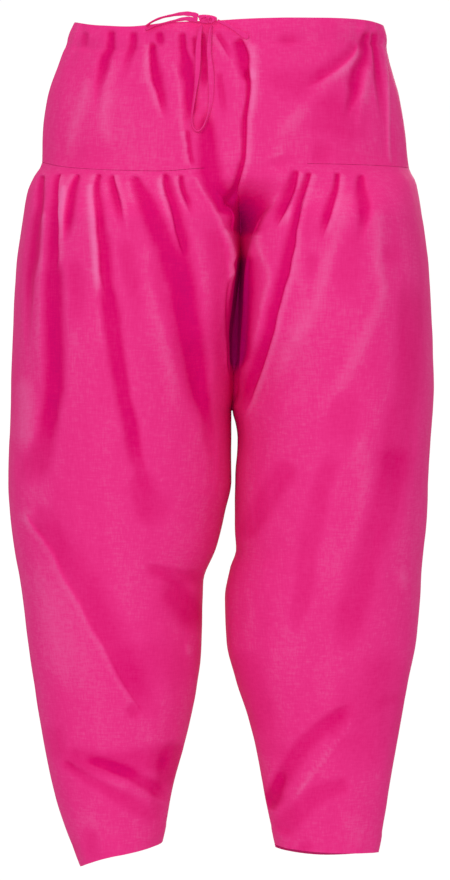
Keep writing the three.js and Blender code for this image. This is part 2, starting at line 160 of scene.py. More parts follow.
def finished(name, bm):
    """A bmesh as a piece of the salwar that rides on its one body."""
    mesh = bpy.data.meshes.new(name)
    bm.to_mesh(mesh)
    bm.free()
    mesh.polygons.foreach_set("use_smooth", [True] * len(mesh.polygons))
    piece = new_object(name, mesh)
    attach(piece, "root")
    return piece


def join_rings(bm, rings, closed=False):
    """Faces from each ring of points to the next, and from the last to the first where it closes."""
    for before, after in zip(rings, rings[1:] + (rings[:1] if closed else [])):
        for s in range(len(before)):
            t = (s + 1) % len(before)
            bm.faces.new((before[s], before[t], after[t], after[s]))


def tape(name, route, turns):
    """A flat cotton cord along a route. Each of turns is a share of its length, how far its flat
    side faces front there, and its share of width."""
    line = through(route) * MM
    bm = bmesh.new()
    rings = []
    for i, point in enumerate(line):
        k = i / (len(line) - 1)
        along = Vector(line[min(i + 1, len(line) - 1)] - line[max(i - 1, 0)]).normalized()
        across = along.cross(Vector((0, -1, 0))).normalized()
        at, facing, share = zip(*turns)
        turn = (1 - np.interp(k, at, facing)) * math.pi / 2
        wide_way = Matrix.Rotation(turn, 3, along) @ across
        thick_way = along.cross(wide_way)
        wide = TAPE_WIDE / 2 * MM * np.interp(k, at, share) * wavering(k, WIDTH_WAVE)
        thick = TAPE_THICK / 2 * MM * wavering(k, THICKNESS_WAVE)
        ring = []
        for s in range(TAPE_SIDES):
            angle = 2 * math.pi * s / TAPE_SIDES
            c, v = math.cos(angle), math.sin(angle)
            dented = 1 - TAPE_DENT * math.cos(angle * 2 + math.pi) ** 2 * (abs(v) > FLAT_SIDE)
            offset = wide_way * (wide * c) + thick_way * (thick * v * dented)
            ring.append(bm.verts.new(Vector(point) + offset))
        rings.append(ring)
    join_rings(bm, rings)
    bm.faces.new(rings[0][::-1])
    bm.faces.new(rings[-1])
    bmesh.ops.recalc_face_normals(bm, faces=bm.faces)
    return finished(name, bm), line


def add_cord(name, node, route, turns):
    piece, line = tape(name, route, turns)
    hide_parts(node)
    return piece


cords = [
    add_cord("upper_strand", "drawstring_upper_strand", UPPER_STRAND, STRAND_TURNS),
    add_cord("lower_strand", "drawstring_lower_strand", LOWER_STRAND, STRAND_TURNS),
    add_cord("hanging_loop", "drawstring_loop", HANGING_LOOP, LOOP_TURNS),
    add_cord("short_end", "drawstring_short_end", SHORT_END, END_TURNS),
]


# The shape of the cloth. The way round the garment is one number: 0 at centre front, 0.5 at the
# left side, 1 at centre back, and the same below zero on the right.

SIDE = 0.5
WHOLE_WAY = 2.0
GUSSET_EDGE = 0.08  # where the leg turns in to the gusset, on the way round
GUSSET_BACK = 0.92  # where the gusset's seams run at the back, on the way round
FRONT_FACE = 0.27  # the foremost line of a leg
BACK_FACE = 0.73
CROTCH_Z = -449.0
YOKE_Z = -174.0  # the usual height of the seam under the yoke
HEM_Z = -960.0  # the usual height of the hems
LEVEL_NEAR = 0.01  # heights closer than this are one level
LEGS_PART = (-165.0, -238.0)  # the yoke's one oval becomes two legs between these heights
# The hollow's floor and its lips lie this times the root of the height above the crotch, before the
# middle.
HOLLOW_FLOOR = 5.5
HOLLOW_LIP = 8.0
HOLLOW_FLOOR_BACK = 6.6
LIP_TIGHT = 3.5  # how narrow the lips' turn is at the crotch
LIP_OPENS = 90.0  # the height in which that turn opens
LIP_ROOM = 12.0  # the lips stay this far behind the foremost line


def table(columns, rows):
    """Rows as dictionaries with named columns."""
    return [dict(zip(columns.split(), row)) for row in rows]


# At each height: out is the outline's distance from the centre line, inn that of the leg's inner side,
# front and back the depths before and behind it.
RIGHT_LEG = table("z out inn front back", [
    (20, 172, -12, 110, 104),
    (-2, 177, -12, 112, 106),
    (-46, 194, -12, 121, 118),
    (-92, 209, -12, 128, 130),
    (-130, 214, -12, 132, 138),
    (-165, 215, -12, 135, 142),
    (-200, 229, -12, 144, 149),
    (-245, 238, -3, 150, 152),
    (-276, 243, -8, 151, 152),
    (-318, 246, -5, 150, 149),
    (-368, 248, 0, 147, 144),
    (-410, 250, -1, 142, 138),
    (-449, 251, -2.8, 138, 133),
    (-529, 254, -3, 127, 124),
    (-565, 252, 5, 121, 119),
    (-604, 247, 14, 114, 114),
    (-648, 239, 30, 106, 109),
    (-713, 232, 31, 95, 102),
    (-771, 223, 38, 84, 94),
    (-836, 213, 52, 71, 84),
    (-890, 201, 66, 60, 76),
    (-930, 188, 73, 52, 69),
    (-978, 169, 86, 46, 64),
])
LEFT_LEG = table("z out inn front back", [
    (20, 172, 75, 110, 104),
    (-10, 178, 75, 113, 108),
    (-46, 184, 75, 121, 118),
    (-92, 197, 75, 128, 130),
    (-130, 203, 75, 132, 138),
    (-165, 206, 75, 135, 142),
    (-203, 215, 61, 144, 149),
    (-232, 221, 37, 149, 151),
    (-256, 225, 26, 151, 152),
    (-280, 228, 20, 151, 152),
    (-320, 231, 16, 150, 149),
    (-370, 234, 13, 147, 144),
    (-425, 235, 10, 140, 136),
    (-449, 234, 4, 138, 133),
    (-464, 233, 7.5, 136, 131),
    (-480, 232, 9.5, 134, 130),
    (-529, 229, 7, 127, 124),
    (-587, 226, 7, 117, 116),
    (-608, 224, 8, 112, 113),
    (-630, 222, 1, 108, 110),
    (-665, 220, -5, 101, 105),
    (-716, 215, -3, 90, 98),
    (-753, 208, 6, 82, 92),
    (-800, 199, 21, 71, 83),
    (-857, 189, 35, 59, 72),
    (-906, 181, 44, 49, 62),
    (-965, 170, 57, 38, 52),
])
# The hollow between the legs, before and behind: how far its floor lies to the left at each height.
HOLLOW = table("z front back", [
    (20, 24, 0),
    (-26, 23, 0),
    (-92, 22, 0),
    (-144, 17, 0),
    (-178, 14, 0),
    (-205, 10, 2),
    (-231, 12, 4),
    (-276, 13, 6),
    (-320, 10, 7),
    (-370, 7, 7),
    (-449, 3.4, 3.4),
])
# Heights of the waist's edge and of the seam under the yoke, on the way round.
LEVELS = table("at waist seam", [
    (-1, -3, -168),
    (-0.7, -3, -168),
    (-0.5, -3, -164),
    (-0.3, -13, -176),
    (-0.22, -16, -180),
    (-0.14, -13, -182),
    (-0.06, -12, -179),
    (0, -10, -177),
    (0.12, -8, -174),
    (0.3, -6, -173),
    (0.5, -8, -171),
    (0.7, -3, -168),
    (1, -3, -168),
])
HEMS = table("at hem", [
    (-0.92, -946),
    (-0.73, -964),
    (-0.5, -974),
    (-0.27, -957),
    (-0.08, -946),
    (0.08, -948),
    (0.27, -954),
    (0.5, -958),
    (0.73, -966),
    (0.92, -952),
])
# Where the long seams run, on the way round, at each height.
SEAMS = table("z right_side left_side gusset_right gusset_left", [
    (20, 0.5, 0.46, 0.089, 0.129),
    (-60, 0.5, 0.42, 0.08, 0.127),
    (-120, 0.5, 0.385, 0.068, 0.125),
    (-174, 0.5, 0.37, 0.063, 0.124),
    (-205, 0.5, 0.375, 0.098, 0.115),
    (-240, 0.5, 0.38, 0.092, 0.092),
    (-300, 0.5, 0.385, 0.082, 0.082),
    (-449, 0.5, 0.4, 0.08, 0.08),
    (-600, 0.5, 0.42, 0.08, 0.08),
    (-975, 0.5, 0.46, 0.08, 0.08),
])


def curve(rows, column, key="z"):
    """A smooth curve through a table's column that keeps between its neighbours."""
    at = np.array([row[key] for row in rows], float)
    value = np.array([row[column] for row in rows], float)
    order = np.argsort(at)
    at, value = at[order], value[order]
    step = np.diff(value) / np.diff(at)
    product = step[:-1] * step[1:]
    total = np.where(product > 0, step[:-1] + step[1:], 1)
    inner = np.where(product > 0, 2 * product / total, 0)
    slope = np.concatenate([step[:1], inner, step[-1:]])

    def read(where):
        x = np.clip(where, at[0], at[-1])
        i = np.clip(np.searchsorted(at, x, side="right") - 1, 0, len(at) - 2)
        wide = at[i + 1] - at[i]
        k = (x - at[i]) / wide
        bend = value[i] + (value[i + 1] - value[i]) * k * k * (3 - 2 * k)
        return bend + wide * (k * (1 - k) ** 2 * slope[i] + k * k * (k - 1) * slope[i + 1])

    return read


def curves(rows, columns, key="z"):
    return {name: curve(rows, name, key) for name in columns.split()}


right_size = curves(RIGHT_LEG, "out inn front back")
left_size = curves(LEFT_LEG, "out inn front back")
hollow = curves(HOLLOW, "front back")
level = curves(LEVELS, "waist seam", "at")
hem_height = curve(HEMS, "hem", "at")
seam = curves(SEAMS, "right_side left_side gusset_right gusset_left")


def wrapped(way):
    """A way round that ran past centre back comes round again on the right."""
    return np.where(way > 1, way - WHOLE_WAY, way)


def plain_shape(way, z):
    """The smooth shape without folds, as an array of points."""
    way = wrapped(way)
    side = np.where(way < 0, -1.0, 1.0)
    t = np.abs(way)
    below = z < CROTCH_Z - LEVEL_NEAR
    low = below & (t < GUSSET_EDGE)
    high = below & (t > 1 - GUSSET_EDGE)
    t = np.where(low, 1 - 2 * GUSSET_EDGE + t, np.where(high, t - 1 + 2 * GUSSET_EDGE, t))
    front = t < SIDE
    pick = {key: np.where(side < 0, right_size[key](z), left_size[key](z)) for key in right_size}
    out, inn, fore, aft = pick["out"], pick["inn"], pick["front"], pick["back"]
    floor_x = side * np.where(front, hollow["front"](z), hollow["back"](z))
    parted = smooth((LEGS_PART[0] - z) / (LEGS_PART[0] - LEGS_PART[1]))
    depth = np.where(front, -fore, aft)
    turn = np.pi * t
    oval_x = lerp(floor_x, out, np.sin(turn))
    oval_y = depth * np.abs(np.cos(turn))

    middle_y = (aft - fore) / 2
    above = np.sqrt(np.maximum(z - CROTCH_Z, 0))
    toward = np.where(front, -1.0, 1.0)
    room = np.abs(depth) - LIP_ROOM
    floor_rate = np.where(front, HOLLOW_FLOOR, HOLLOW_FLOOR_BACK)
    floor_y = middle_y + toward * np.minimum(floor_rate * above, room)
    lip_y = middle_y + toward * np.minimum(HOLLOW_LIP * above, room)
    from_centre = np.where(front, t, 1 - t)
    face = np.where(front, FRONT_FACE, 1 - BACK_FACE)
    middle_x = (inn + out) / 2

    k = np.clip(from_centre / GUSSET_EDGE, 0, 1)
    gusset_x, gusset_y = lerp(floor_x, inn, k), lerp(floor_y, lip_y, k)
    inner = np.clip((from_centre - GUSSET_EDGE) / (face - GUSSET_EDGE), 0, 1) * np.pi / 2
    tight = lerp(LIP_TIGHT, 1, smooth((z - CROTCH_Z) / LIP_OPENS))
    lip_share = np.maximum(1 - np.sin(inner), 0) ** tight
    inner_x = lerp(middle_x, inn, np.cos(inner))
    inner_y = lerp(middle_y, depth, np.sin(inner)) + (lip_y - middle_y) * lip_share
    outer = np.clip((SIDE - from_centre) / (SIDE - face), 0, 1) * np.pi / 2
    outer_x = lerp(middle_x, out, np.cos(outer))
    outer_y = lerp(middle_y, depth, np.sin(outer))
    in_gusset, in_inner = from_centre <= GUSSET_EDGE, from_centre <= face
    leg_x = np.where(in_gusset, gusset_x, np.where(in_inner, inner_x, outer_x))
    leg_y = np.where(in_gusset, gusset_y, np.where(in_inner, inner_y, outer_y))
    oval_y = oval_y + middle_y * smooth(np.sin(turn)) * parted
    return np.stack([side * lerp(oval_x, leg_x, parted), lerp(oval_y, leg_y, parted), z + 0 * way], -1)


# The folds. A fold's line runs down from its top, each point an x, a z and half the fold's width
# there. It is a trough, deep at its deepest, or a ridge where deep is below zero. It reaches its
# depth within rise, and runs out over the share fade of its length. left and right say how much
# further than its width it slopes in at -X and +X, and 0 is a crisp edge, where the cloth laps over.
# The cloth takes up only the share DEPTH of deep, and most of a fold's look is its painted shade: darker
# colour in its trough, lighter on ridges.
# The points of the front's folds follow the photograph's dark and lit bands, and another script
# turned them from pixels into millimetres. The back's are guesses.
FOLD_COLUMNS = "line deep rise fade left right"
PLEATS_RIGHT = table(FOLD_COLUMNS, [
    # pleats and long bands
    ([(-210, -181, 1), (-212, -201, 2), (-213, -218, 2), (-216, -234, 3), (-218, -250, 3.5),
      (-221, -276, 3.5), (-225, -299, 3), (-226, -327, 2.5), (-227, -360, 2.5),
      (-227, -394, 2)], 7, 3, 0.55, 2, 2),
    ([(-190, -181, 1), (-193, -203, 1.5), (-194, -218, 2.5), (-195, -234, 3.5), (-196, -250, 4.5),
      (-197, -265, 5), (-197, -281, 5.5), (-197, -299, 5.5)], 7.5, 3, 0.25, 5, 0),
    ([(-197, -271, 5), (-197, -304, 5.5), (-197, -328, 5.5), (-196, -359, 6), (-196, -390, 6.5),
      (-196, -422, 6), (-198, -437, 6), (-201, -453, 5.5), (-206, -480, 6),
      (-214, -505, 6)], 7, 30, 0.35, 7, 3),
    ([(-198, -425, 5.5), (-206, -475, 6.5), (-213, -499, 8), (-225, -518, 9),
      (-238, -540, 7)], 3.8, 40, 0.3, 3, 5),
    ([(-169, -183, 1), (-174, -201, 2.5), (-177, -218, 3), (-179, -234, 3), (-181, -250, 2.5),
      (-182, -265, 2)], 7.5, 3, 0.35, 0, 3),
    ([(-178, -276, 2.5), (-171, -299, 3.5), (-171, -328, 4), (-172, -366, 2.5)], 2.4, 16, 0.5, 5, 5),
    ([(-146, -183, 1), (-148, -203, 1.5), (-146, -218, 2.5), (-144, -234, 3), (-143, -250, 3.5),
      (-140, -265, 4.5), (-139, -281, 4.5), (-138, -296, 5), (-136, -312, 5.5),
      (-134, -328, 5.5)], 7.5, 3, 0.25, 0, 3),
    ([(-138, -296, 4), (-134, -328, 5.5), (-131, -343, 5.5), (-129, -359, 5), (-126, -375, 4.5),
      (-124, -390, 4.5), (-121, -406, 4), (-118, -422, 3.5), (-116, -437, 3.5), (-112, -453, 4),
      (-108, -468, 4), (-106, -484, 4), (-103, -500, 4), (-98, -515, 4), (-93, -532, 3.5),
      (-86, -550, 2.5)], 7.5, 30, 0.3, 7, 2),
    ([(-131, -185, 1), (-128, -203, 2.5), (-124, -218, 2.5), (-121, -234, 2.5),
      (-117, -251, 2)], 7, 3, 0.5, 3, 0),
    ([(-120, -255, 2.5), (-111, -293, 3.5), (-104, -327, 3.5),
      (-100, -355, 2.5)], 2.2, 16, 0.5, 5, 5),
    ([(-106, -187, 1), (-100, -203, 3.5), (-92, -218, 5), (-85, -234, 6), (-78, -250, 6.5),
      (-69, -265, 7), (-59, -281, 9), (-55, -296, 9), (-50, -312, 8), (-48, -328, 8.5),
      (-45, -343, 7.5), (-41, -359, 7.5), (-39, -375, 7), (-36, -390, 6.5), (-34, -406, 5.5),
      (-32, -422, 4.5), (-29, -437, 4), (-26, -453, 3), (-23, -468, 3), (-22, -484, 3),
      (-19, -500, 2.5), (-16, -519, 2.5)], 7.5, 3, 0.25, 4, 3),
    ([(-86, -265, 5.5), (-77, -296, 8), (-67, -328, 9), (-57, -359, 9), (-49, -388, 8),
      (-41, -422, 7), (-36, -449, 6.5), (-30, -483, 4.5)], 2.8, 26, 0.3, 1, 6),
    ([(-72, -184, 1), (-68, -203, 3.5), (-63, -218, 3.5), (-59, -234, 3.5), (-55, -250, 4),
      (-50, -265, 4), (-46, -282, 3.5)], 7.5, 3, 0.2, 0, 3),
    ([(-54, -186, 1), (-52, -203, 1.5), (-46, -218, 2), (-40, -235, 1.5)], 6.5, 3, 0.5, 0, 2),
    ([(-21, -239, 4.5), (-12, -271, 7), (-8, -315, 6.5), (-10, -371, 5.5),
      (-6, -422, 3.5)], 2.4, 20, 0.3, 5, 0),
    # raised ridges between them, with a painted highlight
    ([(-206, -220, 3.5), (-208, -260, 3.5), (-211, -293, 3.5), (-212, -328, 3.5), (-212, -375, 4),
      (-211, -422, 3.5), (-216, -447, 3.5)], -2.6, 14, 0.25, 0, 0),
    ([(-234, -405, 6.5), (-231, -438, 9), (-231, -472, 11), (-235, -503, 8)], -2.2, 20, 0.3, 0, 0),
    ([(-222, -556, 9), (-229, -584, 11)], -2, 12, 0.4, 0, 0),
    ([(-179, -310, 3.5), (-179, -340, 3.5)], -1.4, 10, 0.5, 0, 0),
    ([(-183, -194, 2), (-184, -217, 3), (-188, -244, 3)], -3, 5, 0.4, 0, 0),
    ([(-154, -193, 3), (-154, -218, 4), (-151, -250, 3.5), (-149, -284, 3.5), (-146, -315, 3.5),
      (-144, -349, 3), (-140, -377, 3.5), (-134, -407, 3.5)], -2.9, 6, 0.35, 0, 0),
    ([(-135, -193, 2), (-135, -217, 2.5)], -2, 5, 0.5, 0, 0),
    ([(-111, -190, 3), (-108, -208, 3.5), (-102, -231, 3.5)], -2.8, 5, 0.5, 0, 0),
    ([(-77, -189, 2.5), (-75, -204, 2.5), (-72, -222, 2.5)], -2.2, 5, 0.5, 0, 0),
    ([(-94, -260, 4.5), (-88, -291, 6.5), (-83, -327, 7), (-75, -366, 7), (-68, -399, 7),
      (-62, -438, 7), (-55, -474, 7)], -1.7, 24, 0.35, 0, 0),
    ([(-36, -248, 4.5), (-30, -284, 5.5), (-24, -318, 5.5), (-18, -351, 4.5)], -1, 14, 0.5, 0, 0),
    ([(-37, -190, 2), (-29, -206, 2), (-17, -225, 2.5), (-8, -244, 2.5), (2, -266, 2.5),
      (5, -284, 2.5), (2, -310, 2), (-2, -343, 2)], -2.6, 3, 0.3, 0, 0),
])
PLEATS_LEFT = table(FOLD_COLUMNS, [
    # pleats and long bands
    ([(76, -181, 1.5), (73, -188, 2.5), (69, -203, 4), (63, -218, 4), (56, -234, 3),
      (50, -248, 2)], 7.5, 3, 0.3, 3, 0),
    ([(90, -183, 1), (84, -203, 1.5), (79, -218, 2), (76, -234, 2), (72, -250, 2.5), (69, -265, 4),
      (65, -281, 4), (62, -296, 4.5), (57, -312, 4), (53, -328, 4), (48, -343, 4.5), (45, -359, 4.5),
      (40, -375, 4.5), (35, -390, 5), (30, -406, 4.5), (25, -422, 4), (21, -437, 3.5),
      (16, -452, 2.5), (12, -470, 2)], 7.5, 3, 0.2, 4, 0),
    ([(121, -183, 1), (119, -203, 1.5), (114, -218, 2.5), (109, -234, 3), (104, -250, 2.5),
      (100, -266, 2)], 7, 3, 0.4, 3, 0),
    ([(95, -273, 2.5), (89, -295, 3), (80, -313, 2.5)], 2, 10, 0.5, 4, 4),
    ([(148, -184, 1), (148, -203, 2.5), (151, -218, 3.5), (151, -234, 3), (148, -250, 2.5),
      (146, -266, 2)], 6, 3, 0.45, 5, 1),
    ([(137, -239, 4.5), (134, -266, 7), (131, -293, 7), (135, -321, 7),
      (144, -347, 5.5)], 1.8, 20, 0.5, 6, 6),
    ([(128, -422, 5.5), (129, -449, 8), (128, -483, 8), (124, -512, 6.5)], 1.7, 20, 0.5, 6, 6),
    ([(182, -260, 4.5), (180, -293, 4.5)], 1.7, 12, 0.5, 5, 3),
    ([(204, -293, 7), (205, -327, 8), (204, -371, 8), (203, -416, 8), (196, -449, 9), (189, -489, 11),
      (183, -528, 11.5), (177, -572, 11.5)], 2.8, 40, 0.3, 6, 4),
    ([(12, -271, 9), (18, -299, 10), (16, -327, 10), (13, -355, 9), (11, -382, 8),
      (8, -407, 5.5)], 7, 14, 0.15, 0, 3),
    ([(79, -220, 4.5), (85, -243, 5.5), (84, -269, 4.5)], 1.2, 10, 0.5, 5, 5),
    # raised ridges between them, with a painted highlight
    ([(59, -204, 2.5), (49, -222, 3.5), (39, -239, 3.5), (33, -260, 3), (38, -280, 3), (46, -300, 3),
      (39, -322, 3), (34, -347, 3), (30, -367, 3), (24, -389, 2.5),
      (16, -416, 2)], -1.7, 8, 0.2, 0, 0),
    ([(102, -199, 6.5), (93, -220, 6.5)], -1.2, 8, 0.5, 0, 0),
    ([(70, -224, 2.5), (64, -251, 3)], -1.4, 6, 0.5, 0, 0),
    ([(133, -204, 5.5), (127, -228, 6.5), (122, -255, 6.5), (110, -284, 7), (102, -311, 7),
      (93, -338, 8), (76, -365, 8), (61, -391, 8), (48, -420, 8),
      (37, -447, 7)], -1.8, 10, 0.25, 0, 0),
    ([(164, -220, 5.5), (166, -253, 5.5), (164, -284, 4.5), (170, -311, 4.5), (165, -338, 5.5),
      (153, -365, 6.5), (141, -391, 7), (124, -420, 7), (106, -445, 8),
      (79, -472, 9)], -1.9, 14, 0.3, 0, 0),
    ([(90, -282, 5.5), (75, -315, 5.5)], -1.2, 10, 0.5, 0, 0),
    ([(148, -461, 6.5), (148, -494, 7), (151, -539, 7), (144, -584, 8), (137, -628, 8),
      (129, -673, 8)], -1.3, 30, 0.4, 0, 0),
])
LEG_FOLDS = table(FOLD_COLUMNS, [
    # the right knee and calf
    ([(-106, -516, 5.5), (-98, -539, 8), (-89, -565, 10), (-82, -592, 8)], 2.8, 16, 0.4, 1, 10),
    ([(-231, -559, 3.5), (-216, -577, 5.5), (-203, -591, 6.5), (-192, -606, 7), (-184, -620, 8),
      (-177, -635, 8), (-168, -649, 8), (-159, -664, 8), (-152, -678, 8), (-144, -693, 8),
      (-135, -707, 8), (-129, -722, 7), (-122, -737, 7), (-115, -751, 6.5), (-107, -766, 5.5),
      (-100, -780, 4.5), (-91, -795, 4.5), (-82, -810, 3.5)], 3.4, 20, 0.2, 0, 16),
    ([(-229, -607, 12.5), (-209, -653, 20), (-191, -698, 23.5), (-177, -737, 23.5),
      (-173, -782, 20)], -1.3, 40, 0.3, 0, 0),
    ([(-89, -703, 20), (-87, -751, 25), (-89, -785, 21.5)], 1.4, 20, 0.5, 12, 12),
    ([(-96, -622, 1.5), (-80, -628, 2.5), (-64, -633, 3.5), (-48, -636, 3.5),
      (-28, -631, 2.5)], 3.2, 16, 0.2, 9, 1),
    ([(-76, -638, 2.5), (-62, -651, 5.5), (-49, -667, 7), (-38, -684, 7),
      (-34, -708, 5.5)], 4.6, 24, 0.3, 12, 3),
    ([(-48, -712, 3.5), (-45, -735, 3.5)], -2, 8, 0.5, 0, 0),
    ([(-116, -782, 2.5), (-107, -790, 3.5), (-98, -798, 2.5)], 2.6, 6, 0.4, 3, 3),
    ([(-202, -807, 4.5), (-198, -833, 5.5), (-191, -856, 3.5)], 1.8, 10, 0.4, 5, 5),
    ([(-191, -841, 4.5), (-159, -847, 5.5), (-128, -851, 6.5), (-96, -846, 7),
      (-64, -840, 7)], 3.2, 14, 0.12, 7, 5),
    ([(-60, -823, 3.5), (-67, -845, 6.5), (-71, -867, 6.5), (-70, -890, 4.5)], 4.6, 12, 0.3, 3, 6),
    ([(-193, -847, 2), (-180, -855, 2), (-167, -863, 2.5), (-142, -877, 3), (-126, -886, 4),
      (-112, -893, 4.5), (-98, -905, 5.5), (-87, -914, 4.5)], 3, 10, 0.2, 4, 1),
    ([(-168, -847, 1.5), (-150, -849, 2), (-132, -855, 2.5), (-115, -862, 3), (-102, -870, 3),
      (-90, -877, 3.5), (-80, -886, 3.5), (-69, -899, 2.5)], 5.4, 20, 0.2, 2, 5),
    ([(-146, -865, 2.5), (-126, -873, 3.5), (-105, -884, 3.5)], -0.9, 14, 0.4, 0, 0),
    ([(-180, -909, 9), (-146, -920, 11), (-112, -938, 11)], -0.8, 14, 0.4, 0, 0),
    ([(-159, -923, 2.5), (-157, -943, 3.5), (-155, -961, 3.5)], 1.8, 8, 0.1, 3, 3),
    ([(-78, -895, 3.5), (-89, -909, 4.5), (-101, -920, 4.5)], 1.8, 6, 0.4, 4, 4),
    ([(-184, -943, 2.5), (-181, -959, 3.5)], 2, 6, 0.1, 3, 3),
    # the left knee and calf
    ([(75, -508, 6.5), (61, -523, 7), (49, -541, 7), (39, -558, 7), (28, -576, 6.5), (20, -590, 4.5),
      (14, -601, 2.5)], 2.8, 14, 0.15, 5, 1),
    ([(126, -490, 5.5), (113, -512, 5.5), (102, -541, 5.5), (98, -562, 6), (91, -591, 6),
      (87, -620, 5.5), (85, -649, 5.5), (77, -678, 4.5), (74, -697, 3.5),
      (66, -718, 2.5)], 2.6, 30, 0.25, 4, 4),
    ([(189, -483, 9), (186, -519, 9), (177, -548, 10), (173, -562, 10), (162, -591, 10),
      (152, -620, 10), (147, -649, 9), (138, -678, 9), (132, -707, 8),
      (121, -738, 5.5)], 2.9, 20, 0.2, 5, 5),
    ([(15, -715, 9), (21, -760, 11.5), (32, -794, 11.5), (42, -830, 11.5)], 1.8, 20, 0.3, 5, 5),
    ([(143, -782, 2), (131, -788, 3), (110, -803, 4), (93, -818, 4), (80, -833, 4.5), (70, -848, 4.5),
      (61, -863, 4.5), (54, -877, 4), (49, -892, 4.5), (46, -909, 4.5)], 4, 24, 0.1, 2, 8),
    ([(63, -857, 2.5), (55, -876, 3), (49, -892, 4), (44, -909, 3.5)], 4, 14, 0.1, 3, 2),
    ([(145, -796, 1.5), (125, -821, 2), (105, -848, 2), (87, -873, 2),
      (69, -902, 2)], -2.2, 14, 0.2, 0, 0),
    ([(139, -873, 3.5), (121, -879, 4.5), (106, -884, 5.5), (94, -893, 5.5), (80, -907, 5.5),
      (67, -920, 6.5), (56, -936, 5.5)], 3, 10, 0.1, 5, 3),
    ([(189, -715, 7), (175, -760, 14.5), (162, -805, 21.5), (139, -841, 21.5),
      (114, -864, 14.5)], 2, 30, 0.3, 14, 8),
    ([(180, -771, 7), (184, -789, 7)], 1.6, 8, 0.4, 5, 5),
    ([(52, -823, 12.5), (49, -850, 11)], 1, 12, 0.4, 6, 6),
    ([(125, -909, 9), (148, -929, 11), (159, -946, 11)], -0.7, 10, 0.3, 0, 0),
    ([(80, -943, 4.5), (87, -953, 5.5)], 2, 5, 0.1, 4, 4),
    ([(195, -624, 4.5), (198, -658, 4.5)], -1.6, 10, 0.5, 0, 0),
])
